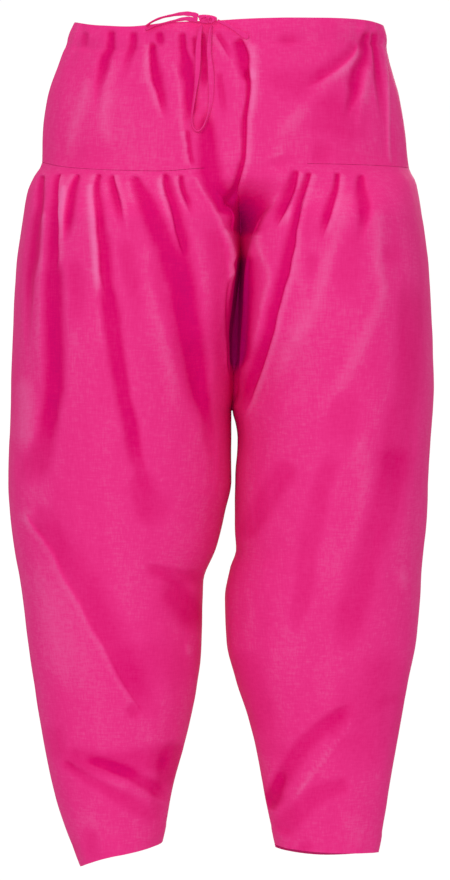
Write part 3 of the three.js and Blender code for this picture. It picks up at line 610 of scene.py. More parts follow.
YOKE_FOLDS = table(FOLD_COLUMNS, [
    # the right front
    ([(-133, -18, 1.5), (-134, -31, 2), (-136, -41, 2.5), (-141, -51, 3), (-143, -61, 3.5),
      (-145, -71, 3), (-148, -85, 2.5), (-150, -117, 2)], 7, 5, 0.65, 1, 3),
    ([(-108, -21, 1.5), (-108, -31, 2), (-110, -41, 2), (-114, -52, 2.5), (-117, -65, 2.5),
      (-121, -83, 2)], 6, 5, 0.75, 2, 3),
    ([(-87, -34, 1.5), (-87, -43, 2), (-86, -52, 2.5), (-85, -61, 3), (-83, -71, 4), (-81, -81, 4),
      (-78, -91, 3), (-76, -101, 2.5), (-73, -112, 2.5), (-69, -128, 2)], 7.5, 6, 0.35, 0, 3),
    ([(-79, -22, 1.5), (-78, -32, 2.5), (-77, -43, 2)], 6, 4, 0.5, 1, 2),
    ([(-162, -18, 1.5), (-164, -29, 2), (-167, -43, 2)], 4, 4, 0.6, 2, 2),
    ([(-52, -23, 1.5), (-52, -41, 2), (-50, -51, 2.5), (-48, -61, 4.5), (-47, -71, 5), (-44, -81, 4),
      (-44, -101, 3.5), (-43, -112, 3.5), (-46, -123, 2), (-47, -137, 1.5)], 7.5, 6, 0.25, 2, 1),
    ([(-47, -134, 1.5), (-45, -150, 1.5), (-43, -165, 1.5), (-39, -179, 1.5)], 5, 6, 0.2, 0, 1),
    ([(-155, -70, 23.5), (-155, -114, 30.5), (-150, -159, 30.5)], -0.8, 30, 0.3, 0, 0),
    ([(-160, -67, 3.5), (-165, -101, 4.5), (-174, -123, 4.5), (-179, -148, 5.5),
      (-184, -176, 6.5)], -1.7, 12, 0.3, 0, 0),
    ([(-130, -50, 3.5), (-135, -79, 4.5), (-139, -101, 5.5), (-140, -123, 5.5), (-135, -146, 6.5),
      (-129, -172, 7)], -1.5, 12, 0.3, 0, 0),
    ([(-95, -47, 3.5), (-95, -70, 4.5), (-106, -94, 5.5)], -1.2, 8, 0.5, 0, 0),
    ([(-62, -56, 2.5), (-58, -76, 2.5), (-54, -103, 2.5), (-54, -128, 2.5), (-48, -155, 2.5),
      (-44, -175, 2.5)], -1.8, 8, 0.3, 0, 0),
    # centre front
    ([(-30, -25, 1.5), (-29, -41, 2), (-28, -61, 2), (-28, -81, 2.5),
      (-30, -96, 2)], 6, 4, 0.3, 1, 1),
    ([(-27, -112, 2.5), (-26, -130, 4), (-25, -148, 6), (-24, -165, 6.5), (-22, -184, 8),
      (-17, -201, 7), (-8, -217, 6.5), (1, -233, 5.5)], 7.5, 20, 0.1, 1, 3),
    ([(-39, -29, 1.5), (-37, -43, 2), (-38, -59, 1.5)], 5, 4, 0.4, 1, 1),
    ([(-12, -70, 1.5), (-10, -86, 1.5), (-8, -101, 2), (-6, -114, 2),
      (-5, -130, 1.5)], 3.4, 6, 0.5, 1, 2),
    ([(-14, -25, 1.5), (-8, -36, 1.5), (-1, -47, 2), (4, -59, 1.5)], 4, 5, 0.4, 0, 2),
    ([(-3, -38, 2.5), (4, -54, 3.5), (8, -72, 3.5), (8, -103, 3.5)], -1.2, 6, 0.5, 0, 0),
    ([(10, -32, 2), (13, -41, 4), (16, -52, 5), (17, -61, 4.5), (19, -72, 2.5),
      (21, -85, 1.5)], 7.5, 5, 0.2, 5, 0),
    ([(21, -65, 1.5), (22, -85, 1.5), (21, -103, 1), (18, -121, 1.5), (17, -137, 2), (17, -152, 1.5),
      (16, -168, 1.5), (13, -179, 2), (8, -197, 2.5), (1, -213, 3),
      (-3, -228, 3)], 7.5, 8, 0.08, 1.5, 0),
    ([(29, -36, 3.5), (30, -70, 4), (29, -103, 4), (24, -131, 3.5)], -2, 8, 0.35, 0, 0),
    ([(37, -177, 11), (31, -195, 14.5), (24, -213, 15.5), (20, -231, 13.5),
      (18, -255, 10)], 5.5, 50, 0.1, 8, 6),
    ([(8, -293, 5.5), (5, -327, 6.5), (4, -371, 5.5), (3, -416, 3.5)], 4, 14, 0.2, 0, 4),
    # the left front
    ([(65, -23, 3.5), (66, -34, 4.5), (67, -45, 3.5)], 3, 12, 0.5, 5, 5),
    ([(79, -56, 16), (79, -86, 21.5), (68, -112, 16)], 2.2, 24, 0.4, 10, 10),
    ([(124, -85, 14.5), (122, -117, 18), (117, -153, 18)], 2.2, 24, 0.3, 10, 10),
    ([(145, -32, 2.5), (136, -47, 2.5), (122, -60, 3.5), (108, -70, 3.5), (94, -81, 3.5),
      (79, -91, 2.5)], 3.8, 8, 0.4, 5, 0),
    ([(155, -36, 3.5), (144, -52, 4.5), (131, -64, 5.5), (116, -79, 6.5), (102, -94, 7),
      (84, -114, 8), (64, -134, 8), (43, -155, 7)], -2, 10, 0.3, 0, 0),
    ([(156, -18, 2), (155, -36, 3), (153, -51, 3.5), (148, -61, 3.5), (145, -71, 4), (143, -81, 4),
      (142, -91, 3.5), (139, -101, 3), (135, -112, 2.5), (132, -126, 2)], 7.5, 6, 0.4, 3, 1),
    ([(164, -18, 1.5), (167, -41, 1.5), (169, -59, 2), (170, -75, 2.5), (172, -94, 2.5),
      (174, -117, 2.5), (175, -139, 2)], 6, 5, 0.65, 1, 2),
    ([(160, -59, 2.5), (155, -86, 3.5), (148, -114, 4), (144, -148, 4.5)], -1.7, 8, 0.4, 0, 0),
    ([(108, -146, 4.5), (103, -161, 5), (97, -177, 4)], 2.4, 8, 0.3, 3, 6),
    ([(46, -159, 2), (57, -155, 2), (75, -151, 1.5)], -1.4, 6, 0.5, 0, 0),
    ([(39, -170, 2), (52, -164, 2), (72, -159, 1.5)], -1.4, 6, 0.5, 0, 0),
    ([(47, -177, 2.5), (61, -170, 3), (79, -166, 2.5)], 1.6, 6, 0.5, 2, 2),
    ([(175, -21, 1.5), (180, -70, 1.5), (181, -114, 1.5), (181, -159, 1.5),
      (186, -177, 1.5)], -2.4, 8, 0.1, 0, 0),
])
BACK_FOLDS = table(FOLD_COLUMNS, [
    # the pleats of the right leg, then of the left
    ([(-206, -166, 1), (-209, -205, 4), (-214, -250, 5.5), (-219, -300, 5),
      (-222, -350, 3)], 7.7, 14, 0.5, 4, 0),
    ([(-182, -166, 1), (-184, -192, 3), (-190, -235, 4.5), (-195, -285, 5), (-199, -345, 4),
      (-202, -400, 2)], 9.1, 12, 0.5, 6, 0),
    ([(-158, -166, 1), (-159, -190, 3.4), (-163, -222, 3.4), (-166, -250, 1.6)], 7.7, 10, 0.4, 0, 3),
    ([(-132, -166, 1), (-131, -198, 4), (-129, -250, 5.5), (-126, -310, 6), (-121, -370, 5.5),
      (-114, -430, 4.5), (-106, -500, 3)], 11.9, 14, 0.5, 5, 0),
    ([(-106, -166, 1), (-103, -190, 3), (-98, -220, 3.4), (-92, -256, 1.6)], 7.7, 10, 0.4, 0, 3),
    ([(-82, -166, 1), (-77, -198, 4), (-68, -245, 5.6), (-60, -300, 6), (-53, -360, 5),
      (-46, -430, 3)], 10.5, 14, 0.5, 6, 0),
    ([(-58, -166, 1), (-53, -190, 3), (-46, -226, 3.4), (-39, -262, 1.6)], 7, 10, 0.4, 0, 3),
    ([(-36, -166, 1), (-31, -190, 2.4), (-25, -222, 1.4)], 4.9, 8, 0.5, 0, 3),
    ([(36, -166, 1), (32, -192, 2.4), (26, -228, 1.4)], 4.9, 8, 0.5, 3, 0),
    ([(58, -166, 1), (54, -194, 3), (48, -236, 3.4), (40, -276, 1.6)], 7.7, 10, 0.4, 3, 0),
    ([(84, -166, 1), (80, -200, 4), (73, -250, 5.4), (65, -310, 5.6), (56, -380, 4.6),
      (48, -460, 3)], 11.2, 14, 0.5, 0, 5),
    ([(108, -166, 1), (106, -188, 3), (101, -216, 3.4), (95, -246, 1.6)], 7, 10, 0.4, 3, 0),
    ([(134, -166, 1), (132, -200, 4), (128, -260, 5.4), (123, -330, 5.6), (115, -400, 5),
      (106, -480, 3)], 11.2, 14, 0.5, 0, 6),
    ([(160, -166, 1), (161, -194, 3.4), (163, -232, 4), (165, -280, 2)], 7.7, 12, 0.4, 3, 0),
    ([(186, -166, 1), (189, -200, 3.6), (194, -246, 4.6), (200, -300, 4.6),
      (205, -360, 2.6)], 8.4, 12, 0.5, 0, 5),
    # knees and calves
    ([(-222, -540, 3), (-196, -584, 5), (-164, -640, 6), (-128, -700, 5),
      (-98, -752, 3)], 3.6, 40, 0.3, 12, 2),
    ([(-52, -620, 3), (-78, -650, 6), (-96, -690, 5), (-108, -730, 3)], 2.7, 20, 0.4, 6, 6),
    ([(206, -556, 3), (180, -600, 5), (148, -660, 6), (112, -724, 5),
      (84, -778, 3)], 3.6, 40, 0.3, 2, 12),
    ([(38, -640, 3), (66, -672, 6), (84, -712, 5), (94, -752, 3)], 2.7, 20, 0.4, 6, 6),
    ([(-190, -800, 2), (-160, -822, 4), (-124, -850, 4.6), (-92, -882, 3)], 3.1, 16, 0.3, 0, 5),
    ([(-176, -860, 2), (-150, -882, 3.4), (-118, -908, 3)], 2.2, 12, 0.3, 4, 0),
    ([(176, -792, 2), (146, -816, 4), (110, -846, 4.6), (82, -880, 3)], 3.1, 16, 0.3, 5, 0),
    ([(160, -862, 2), (132, -886, 3.4), (102, -910, 3)], 2.2, 12, 0.3, 0, 4),
    ([(150, -560, 8), (140, -640, 9), (126, -720, 7)], 2.2, 40, 0.4, 6, 6),
    ([(-150, -470, 8), (-146, -540, 9), (-134, -610, 6)], 1.8, 40, 0.4, 6, 6),
    # the yoke
    ([(-163, -8, 1.4), (-166, -36, 3), (-172, -76, 4), (-180, -124, 3)], 4.2, 8, 0.5, 3, 3),
    ([(-136, -8, 1.4), (-138, -30, 3), (-142, -62, 2)], 3.5, 8, 0.5, 3, 3),
    ([(-108, -8, 1.4), (-107, -42, 3.6), (-104, -92, 5), (-101, -140, 3)], 6.3, 10, 0.5, 3, 2),
    ([(-80, -8, 1.4), (-80, -32, 3), (-82, -66, 2)], 3.5, 8, 0.5, 3, 3),
    ([(-54, -8, 1.4), (-51, -40, 3.4), (-46, -84, 4.4), (-41, -132, 3)], 5.6, 10, 0.5, 3, 3),
    ([(-24, -8, 1.4), (-24, -30, 2.8), (-23, -60, 2)], 3.5, 8, 0.5, 3, 3),
    ([(4, -8, 1.4), (3, -40, 3.4), (0, -88, 4.4), (-3, -140, 3)], 4.9, 10, 0.5, 3, 3),
    ([(33, -8, 1.4), (34, -30, 2.8), (36, -62, 2)], 3.5, 8, 0.5, 3, 3),
    ([(60, -8, 1.4), (57, -42, 3.6), (51, -90, 4.8), (46, -136, 3)], 6.3, 10, 0.5, 2, 3),
    ([(92, -8, 1.4), (93, -30, 3), (96, -64, 2)], 3.5, 8, 0.5, 3, 3),
    ([(122, -8, 1.4), (121, -42, 3.6), (117, -92, 4.8), (112, -144, 3)], 5.6, 10, 0.5, 3, 3),
    ([(150, -8, 1.4), (154, -36, 3), (160, -82, 3.4), (166, -130, 2)], 4.2, 8, 0.5, 3, 3),
])
FRONT_FOLDS = PLEATS_RIGHT + PLEATS_LEFT + LEG_FOLDS + YOKE_FOLDS
DEPTH = 0.5  # the share of a fold's depth that the cloth takes up
WIDER = 1.25  # a fold's true half width as a share of its number in the tables
NARROW_END = 0.45  # a fold's width at its ends, as a share of its full width
UNDER = 0.5  # how far towards its one crisp edge a fold is deepest, as a share of its half width
SLACK = 1.3  # how far a slack side slopes in, as a share of its number in the tables
SLACK_WIDE = 1.1  # and as a share of the fold's half width besides
CRISP = 1.8  # how far past its width a crisp edge turns
CRISP_LEVEL = 0.2  # the share of a crisp fold's half that lies level at its deepest
SWELL = 0.14  # how far cloth stands out beside a fold's crisp edge, as a share of its depth
SWELL_WIDE = 6.0
SWELL_AT = 4.0  # how far past the edge it stands out most
LIP = 0.08  # how far that edge leans over the fold
PAINTED_SHADE_DEEP = 6.5  # the depth at which a fold has its full painted shade
MOST_PAINTED_SHADE = 1.05  # the painted shade goes no further where folds lie on each other
PAINTED_SHADE_GROWTH = 1.15  # how much faster than its depth a fold's painted shade grows
RIDGE_PAINTED_HIGHLIGHT = 1.15  # and a ridge's painted highlight
CREASE_PAINTED_SHADE = 0.3  # the painted shade of a dark line at a crisp edge
CREASE_WIDE = 1.3
CREASE_AT = 0.2
RIM_PAINTED_HIGHLIGHT = 0.42  # the painted highlight on the cloth beside it
RIM_WIDE = 3.6
RIM_AT = 4.0
LAP_FROM = 1.5  # how far inside its edge the cloth starts to lap over
LINE_STEPS = 4  # the steps between two points of a fold's line
# A fold reaches this many half widths and slack sides, and this far besides.
REACH_WIDTHS, REACH_SLACK, REACH_BESIDES = 3, 2, 12


def distance_to(line, x, z):
    """How far points lie from a line, positive at its +X side, how far along it they are, and the
    line's third column there."""
    best = np.full(x.shape, np.inf)
    signed = np.zeros(x.shape)
    along = np.zeros(x.shape)
    width = np.zeros(x.shape)
    start = 0.0
    for (ax, az, aw), (bx, bz, bw) in zip(line, line[1:]):
        dx, dz = bx - ax, bz - az
        length = math.hypot(dx, dz)
        k = np.clip(((x - ax) * dx + (z - az) * dz) / length**2, 0, 1)
        gap = np.hypot(x - ax - k * dx, z - az - k * dz)
        nearer = gap < best
        sign = np.where(dx * (z - az) - dz * (x - ax) >= 0, 1.0, -1.0)
        best = np.where(nearer, gap, best)
        signed = np.where(nearer, gap * sign, signed)
        along = np.where(nearer, start + k * length, along)
        width = np.where(nearer, aw + (bw - aw) * k, width)
        start += length
    return signed, along, width, start


def trough(gap, width, left, right):
    """How deep the cloth lies across a fold, from 0 to 1."""
    lean = UNDER * ((right == 0) * 1 - (left == 0) * 1)
    from_deepest = gap - lean * width
    slack = np.where(from_deepest < 0, left, right)
    soft = slack > 0
    outside = np.where(soft, SLACK * slack + SLACK_WIDE * width, CRISP)
    reach = width * (1 + lean * np.where(from_deepest < 0, 1, -1)) + outside
    level_part = np.where(soft, 0.0, CRISP_LEVEL)
    return 1 - smooth((np.abs(from_deepest) / reach - level_part) / (1 - level_part))


def near_fold(fold, x, z, reach):
    """Which points lie near a fold's line, and the line as small steps."""
    line = through(fold["line"], LINE_STEPS)
    low, high = line.min(0) - reach, line.max(0) + reach
    return (x > low[0]) & (x < high[0]) & (z > low[1]) & (z < high[1]), line


def fold_shift(folds, x, z):
    """How far the folds move the cloth in, how far sideways, and the painted shade and highlight they
    give it.
    """
    inward = np.zeros(x.shape)
    sideways = np.zeros(x.shape)
    tint = np.zeros(x.shape)
    for fold in folds:
        left, right = fold["left"], fold["right"]
        widest = max(point[2] for point in fold["line"])
        reach = REACH_WIDTHS * widest + REACH_SLACK * max(left, right) + REACH_BESIDES
        near, line = near_fold(fold, x, z, reach)
        if not near.any():
            continue
        gap, along, width, length = distance_to(line, x[near], z[near])
        share = along / length
        strength = smooth(along / fold["rise"]) * smooth((1 - share) / fold["fade"])
        width = width * WIDER * (NARROW_END + (1 - NARROW_END) * strength)
        deep = fold["deep"] * strength
        # How strongly a fold paints shade into the colour, or a ridge paints a highlight
        painted_amount = np.clip(fold["deep"] / PAINTED_SHADE_DEEP, -1, 1) * strength
        if fold["deep"] < 0:
            # A ridge stands out and gets a painted highlight
            ridge = np.exp(-((gap / width) ** 2))
            inward[near] += deep * DEPTH * ridge
            tint[near] += RIDGE_PAINTED_HIGHLIGHT * painted_amount * ridge
            continue
        drop = trough(gap, width, left, right)
        out_of = np.abs(gap) - width
        crisp = np.where(gap < 0, left, right) == 0
        lapped = crisp * smooth(out_of + LAP_FROM)
        swell = SWELL * np.exp(-(((out_of - SWELL_AT) / SWELL_WIDE) ** 2)) * lapped
        inward[near] += deep * DEPTH * (drop - swell)
        rim = lapped * np.exp(-(((out_of - RIM_AT) / RIM_WIDE) ** 2))
        crease = crisp * np.exp(-(((out_of - CREASE_AT) / CREASE_WIDE) ** 2))
        # Painted shade darkens the trough and a crease line at the crisp edge; a painted highlight
        # lightens the rim beside it
        dark = smooth(PAINTED_SHADE_GROWTH * drop)
        tint[near] += painted_amount * (dark + CREASE_PAINTED_SHADE * crease - RIM_PAINTED_HIGHLIGHT * rim)
        lean = np.exp(-((np.maximum(out_of, 0) / SWELL_WIDE) ** 2)) * lapped
        sideways[near] -= np.sign(gap) * LIP * deep * lean
    return inward, sideways, tint


# Painted shade in the hollow between the legs
HOLLOW_PAINTED_SHADE = 1.0
HOLLOW_FROM, HOLLOW_OVER = 20.0, 45.0  # the painted shade darkens from this far behind the legs' faces, over this much
HOLLOW_OPENS = 40.0  # the height under the legs' parting in which it gets dark
HOLLOW_ENDS, HOLLOW_FADES = 70.0, 60.0  # how far below the crotch it ends, and fades before that


def hollow_painted_shade(way, z, y):
    """Painted shade in the hollow between the legs, darker the further the cloth lies behind their
    faces.
    """
    face = np.where(way < 0, right_size["front"](z), left_size["front"](z))
    behind = np.where(y < 0, face, np.where(way < 0, right_size["back"](z), left_size["back"](z)))
    from_centre = np.minimum(np.abs(way), 1 - np.abs(way))
    inner = 1 - smooth((from_centre - GUSSET_EDGE) / GUSSET_EDGE)
    opened = smooth((LEGS_PART[0] - z) / HOLLOW_OPENS)
    between = opened * smooth((z - CROTCH_Z + HOLLOW_ENDS) / HOLLOW_FADES)
    return HOLLOW_PAINTED_SHADE * smooth((behind - np.abs(y) - HOLLOW_FROM) / HOLLOW_OVER) * inner * between


WAY_STEP = 0.002  # how far on the way round the cloth's direction is read
NO_LENGTH = 1e-9
FACING_LOW, FACING_HIGH = 0.08, 0.4  # folds fade in as the cloth turns this far to the front or back
FACING_PAINTED = 0.2  # and their painted shade and highlight from none to this
CROTCH_X = 3.4
CROTCH_BARE = 10.0  # nothing moves the cloth this near to the crotch
CROTCH_PLAIN = 50.0  # over this much further, the folds and gathers come in
# Broad and small unevenness: how high, how large and the noise's seed. It is longer down the cloth.
RIPPLES = ((0.9, 34.0, 3.7), (0.35, 11.0, 9.2))
RIPPLE_LONG = 2.2

CASING_DEEP = 26.0
ROLL_HIGH, ROLL_AT, ROLL_WIDE = 1.6, 12, 10
STITCH_DEEP, STITCH_WIDE = 1.3, 3.5
PUCKER_HIGH = 0.55
PUCKER_ENDS = 16  # how far below the casing its puckers run out
PUCKER_STARTS = 6
PUCKER_LEAST = 0.45  # the share of puckers where the cloth is drawn in least

HEM_DEEP = 20.0
HEM_PROUD, HEM_WAVE = 0.7, 0.35
HEM_STEP = 2
HEM_STITCH_DEEP, HEM_STITCH_WIDE = 0.5, 1.6

PUFF_HIGH, PUFF_RISE = 4.0, 16
PUFF_FROM, PUFF_FADES = 20, 60


def ripple(x, y, z, size, seed):
    """Smooth noise in three dimensions, stretched down the cloth."""
    flat = zip(x.ravel() / size, y.ravel() / size, z.ravel() / (size * RIPPLE_LONG))
    values = [noise.noise((a + seed, b, c)) for a, b, c in flat]
    return np.array(values).reshape(x.shape)


def cloth(way, z):
    """Points of the cloth's outer face, with its folds, gathers and hems, and its painted shade and
    highlight.
    """
    point = plain_shape(way, z)
    across = plain_shape(way + WAY_STEP, z) - plain_shape(way - WAY_STEP, z)
    length = np.maximum(np.hypot(across[..., 0], across[..., 1]), NO_LENGTH)
    tangent = across / length[..., None]
    outward = np.stack([tangent[..., 1], -tangent[..., 0], 0 * z], -1)
    x, y = point[..., 0], point[..., 1]
    in_front = np.abs(wrapped(way)) < SIDE
    facing = np.abs(tangent[..., 0])
    inward = np.zeros(x.shape)
    sideways = np.zeros(x.shape)
    tint = np.zeros(x.shape)
    for folds, here, sign in ((FRONT_FOLDS, in_front, 1.0), (BACK_FOLDS, ~in_front, -1.0)):
        if here.any():
            inward[here], side_shift, tint[here] = fold_shift(folds, x[here], z[here])
            sideways[here] = side_shift * sign
    from_crotch = np.hypot(x - CROTCH_X, z - CROTCH_Z)
    held = smooth((facing - FACING_LOW) / (FACING_HIGH - FACING_LOW))
    held = held * smooth((from_crotch - CROTCH_BARE) / CROTCH_PLAIN)
    lift = gathers(way, z) + hem_step(way, z) + pleat_puff(way, z)
    lift = lift * smooth((from_crotch - CROTCH_BARE) / CROTCH_PLAIN)
    for high, size, seed in RIPPLES:
        lift = lift + high * ripple(x, y, z, size, seed)
    lift = lift * smooth(from_crotch / CROTCH_BARE)
    # Painted shade and highlight from the folds, plus painted shade in the hollow between the legs
    shown = smooth(facing / FACING_PAINTED) * smooth(from_crotch / CROTCH_BARE)
    tint = np.clip(tint, -1, MOST_PAINTED_SHADE) * shown + hollow_painted_shade(wrapped(way), z, y)
    out, along = lift - held * inward, held * sideways
    return point + outward * out[..., None] + tangent * along[..., None], tint


def gathers(way, z):
    """The casing drawn in on its string: a soft roll with small puckers that run out below it."""
    below = level["waist"](wrapped(way)) - z
    stitched = STITCH_DEEP * np.exp(-(((below - CASING_DEEP) / STITCH_WIDE) ** 2))
    roll = ROLL_HIGH * np.exp(-(((below - ROLL_AT) / ROLL_WIDE) ** 2)) - stitched
    beat = np.sin(way * 71 + 2.1 * np.sin(way * 17)) + 0.6 * np.sin(way * 123 + 1.3)
    fades = np.exp(-np.maximum(below - CASING_DEEP, 0) / PUCKER_ENDS)
    amount = lerp(PUCKER_LEAST, 1.0, smooth(0.5 - 0.5 * np.cos(wrapped(way) * np.pi * 2 + 0.4)))
    return roll + PUCKER_HIGH * beat * fades * amount * smooth(below / PUCKER_STARTS)


def hem_step(way, z):
    """The turned hem stands a little proud and waves along its stitching."""
    above = z - hem_height(wrapped(way))
    inside = 1 - smooth((above - HEM_DEEP) / HEM_STEP)
    wave = 0.5 * np.sin(way * 40 + 1.2) + 0.3 * np.sin(way * 91)
    stitched = HEM_STITCH_DEEP * np.exp(-(((above - HEM_DEEP) / HEM_STITCH_WIDE) ** 2))
    return inside * (HEM_PROUD + HEM_WAVE * wave) - stitched


def pleat_puff(way, z):
    """The pleats swell just under the yoke's seam."""
    below = level["seam"](wrapped(way)) - z
    fades = np.exp(-np.maximum(below - PUFF_FROM, 0) / PUFF_FADES)
    return np.where(below > 0, PUFF_HIGH * smooth(below / PUFF_RISE) * fades, 0)


# The panels

def waist_to_seam(way, k):
    return lerp(level["waist"](wrapped(way)), level["seam"](wrapped(way)), k)


def seam_to_crotch(way, k):
    return lerp(level["seam"](wrapped(way)), CROTCH_Z, k)


def crotch_to_hem(way, k):
    return lerp(CROTCH_Z, hem_height(wrapped(way)), k)


SECTIONS = {
    "yoke": (waist_to_seam, 0.0, YOKE_Z),
    "upper": (seam_to_crotch, YOKE_Z, CROTCH_Z),
    "lower": (crotch_to_hem, CROTCH_Z, HEM_Z),
}
SEAM_GAP = 0.4
CLOTH_THICK = 0.9
ROUND_LENGTH = 0.4  # the length in metres that 1 on the way round takes up in the cloth's UV map
# How near to a deep fold the grid is halved, and how near to its crisp edges it is halved again.
REFINED = ((8, False), (3.5, True))
DEEP_FOLD = 2.5  # the depth from which a fold counts as deep
SOFT_EDGE = 2.0  # a side that is slacker than this is no edge
EDGE_REACH = 30
FAR_AWAY = 99.0
SAME_ROW = 1e-4


def fold_gap(x, z, in_front, crisp):
    """How far points lie outside the nearest deep fold, or from the nearest crisp edge of one."""
    nearest = np.full(x.shape, FAR_AWAY)
    for folds, here in ((FRONT_FOLDS, in_front), (BACK_FOLDS, ~in_front)):
        for fold in folds:
            if fold["deep"] < DEEP_FOLD or (crisp and min(fold["left"], fold["right"]) > SOFT_EDGE):
                continue
            near, line = near_fold(fold, x, z, EDGE_REACH)
            near = near & here
            if near.any():
                gap, _, width, _ = distance_to(line, x[near], z[near])
                outside = np.abs(gap) - width * WIDER
                if crisp:
                    sharp = np.where(gap < 0, fold["left"], fold["right"]) <= SOFT_EDGE
                    outside = np.where(sharp, np.abs(outside), FAR_AWAY)
                nearest[near] = np.minimum(nearest[near], outside)
    return nearest


def place_on_cloth(bm, rows, sections, start, end):
    """The way round and the height of each point of a grid that runs from 0 to 1 both ways."""
    co = np.array([vert.co for vert in bm.verts])
    across, down = co[:, 0], co[:, 1] * rows
    way, z = np.empty(len(co)), np.empty(len(co))
    first = 0
    for key, count in sections:
        height, top, bottom = SECTIONS[key]
        here = (down > first - SAME_ROW) & (down < first + count + SAME_ROW)
        k = (down[here] - first) / count
        rough = lerp(top, bottom, k)
        way[here] = lerp(start(rough), end(rough), across[here])
        z[here] = height(way[here], k)
        first += count
    return way, z, down


def panel(node, columns, sections, start, end, slot):
    """A panel of cloth between two long seams, over some sections of the height."""
    name = node + "_cloth"
    rows = sum(count for _, count in sections)
    bm = bmesh.new()
    bmesh.ops.create_grid(bm, x_segments=columns, y_segments=rows, size=0.5)
    bmesh.ops.translate(bm, verts=bm.verts, vec=(0.5, 0.5, 0))
    for reach, crisp in REFINED:
        way, z, _ = place_on_cloth(bm, rows, sections, start, end)
        point = plain_shape(way, z)
        gap = fold_gap(point[:, 0], point[:, 2], np.abs(wrapped(way)) < SIDE, crisp)
        bm.verts.index_update()
        edges = {edge for face in bm.faces for edge in face.edges
                 if min(gap[vert.index] for vert in face.verts) < reach}
        bmesh.ops.subdivide_edges(bm, edges=list(edges), cuts=1, use_grid_fill=True)
    way, z, down = place_on_cloth(bm, rows, sections, start, end)
    for edge in bm.edges:
        edge.smooth = not edge.is_boundary
    mesh = bpy.data.meshes.new(name)
    bmesh.ops.reverse_faces(bm, faces=bm.faces)
    bm.to_mesh(mesh)
    bm.free()
    z = z + SEAM_GAP / 2 * ((down > rows - SAME_ROW) * 1.0 - (down < SAME_ROW) * 1.0)
    points, tint = cloth(way, z)
    mesh.vertices.foreach_set("co", (points * MM).ravel())
    # The painted shade and highlight is stored on the points for the material to read
    mesh.attributes.new("tint", "FLOAT", "POINT").data.foreach_set("value", tint)
    uv = mesh.uv_layers.new(name="cloth")
    corner = np.empty(len(mesh.loops), int)
    mesh.loops.foreach_get("vertex_index", corner)
    around = np.stack([way * ROUND_LENGTH, z * MM], -1)[corner]
    uv.data.foreach_set("uv", around.ravel())
    mesh.polygons.foreach_set("use_smooth", [True] * len(mesh.polygons))
    mesh.update()
    piece = new_object(name, mesh)
    wall = piece.modifiers.new("thickness", "SOLIDIFY")
    wall.thickness = CLOTH_THICK * MM
    wall.offset = -1
    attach(piece, "root")
    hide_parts(node)
    return piece


def on_right(read):
    return lambda z: -read(z)


def round_the_back(read):
    return lambda z: WHOLE_WAY - read(z)


def always(value):
    return lambda z: value + 0 * z


right_side = on_right(seam["right_side"])
right_side_behind = round_the_back(seam["right_side"])
gusset_right = on_right(seam["gusset_right"])
gusset_left = seam["gusset_left"]
left_side = seam["left_side"]
back_left = always(GUSSET_BACK)
back_right = always(WHOLE_WAY - GUSSET_BACK)

# Each section of a panel with its rows, from the top down.
YOKE = [("yoke", 28)]
GUSSET = [("yoke", 28), ("upper", 44)]
LEG = [("upper", 46), ("lower", 84)]
BEHIND_GUSSET = [("upper", 40)]
PANELS = table("node columns sections start end slot", [
    ("yoke_front_right", 44, YOKE, right_side, gusset_right, "yoke_cotton"),
    ("yoke_front_left", 34, YOKE, gusset_left, left_side, "yoke_cotton"),
    ("yoke_back", 90, YOKE, left_side, right_side_behind, "yoke_cotton"),
    ("gusset_front", 36, GUSSET, gusset_right, gusset_left, "gusset_cotton"),
    ("gusset_back", 24, BEHIND_GUSSET, back_left, back_right, "gusset_cotton"),
    ("leg_front_right", 66, LEG, right_side, gusset_right, "leg_cotton"),
    ("leg_front_left", 60, LEG, gusset_left, left_side, "leg_cotton"),
    ("leg_back_right", 60, LEG, back_right, right_side_behind, "leg_cotton"),
    ("leg_back_left", 68, LEG, left_side, back_left, "leg_cotton"),
])
panels = {row["node"]: panel(**row) for row in PANELS}


# The knot

# Its turns of cord: how each tilts, half its width, height and thickness, and its place.
KNOT_TURNS = (
    (0.1, 9.4, 1.5, 1.7, (-0.4, 0.6, 1.4)),
    (-0.12, 8.6, 1.2, 1.6, (0.6, -0.2, -2.2)),
    (0.5, 3.0, 2.6, 1.5, (3.4, -1.4, -1.2)),
    (-0.3, 4.0, 1.8, 1.4, (-4.6, -1.0, 0.4)),
)
KNOT_AROUND, KNOT_TUBE = 32, 10
KNOT_BEND = 1.2
KNOT_FLAT = 0.9


def tie_knot():
    """A small flat knot: the two strands drawn through a short turn of the cord."""
    bm = bmesh.new()
    centre = Vector(KNOT_CENTRE) * MM
    for tilt, wide, high, thick, shift in KNOT_TURNS:
        rings = []
        turn = Matrix.Rotation(tilt, 3, "Y")
        for i in range(KNOT_AROUND):
            a = 2 * math.pi * i / KNOT_AROUND
            spine = Vector((wide * math.cos(a), -KNOT_BEND * math.cos(2 * a), high * math.sin(a)))
            outward = Vector((math.cos(a), 0, math.sin(a)))
            ring = []
            for j in range(KNOT_TUBE):
                b = 2 * math.pi * j / KNOT_TUBE
                deep = Vector((0, 1, 0)) * (thick * KNOT_FLAT * math.sin(b))
                offset = outward * (thick * math.cos(b)) + deep
                ring.append(bm.verts.new(centre + (turn @ (spine + offset) + Vector(shift)) * MM))
            rings.append(ring)
        join_rings(bm, rings, closed=True)
    bmesh.ops.recalc_face_normals(bm, faces=bm.faces)
    piece = finished("knot", bm)
    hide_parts("drawstring_knot")
    return piece


knot = tie_knot()


# Materials

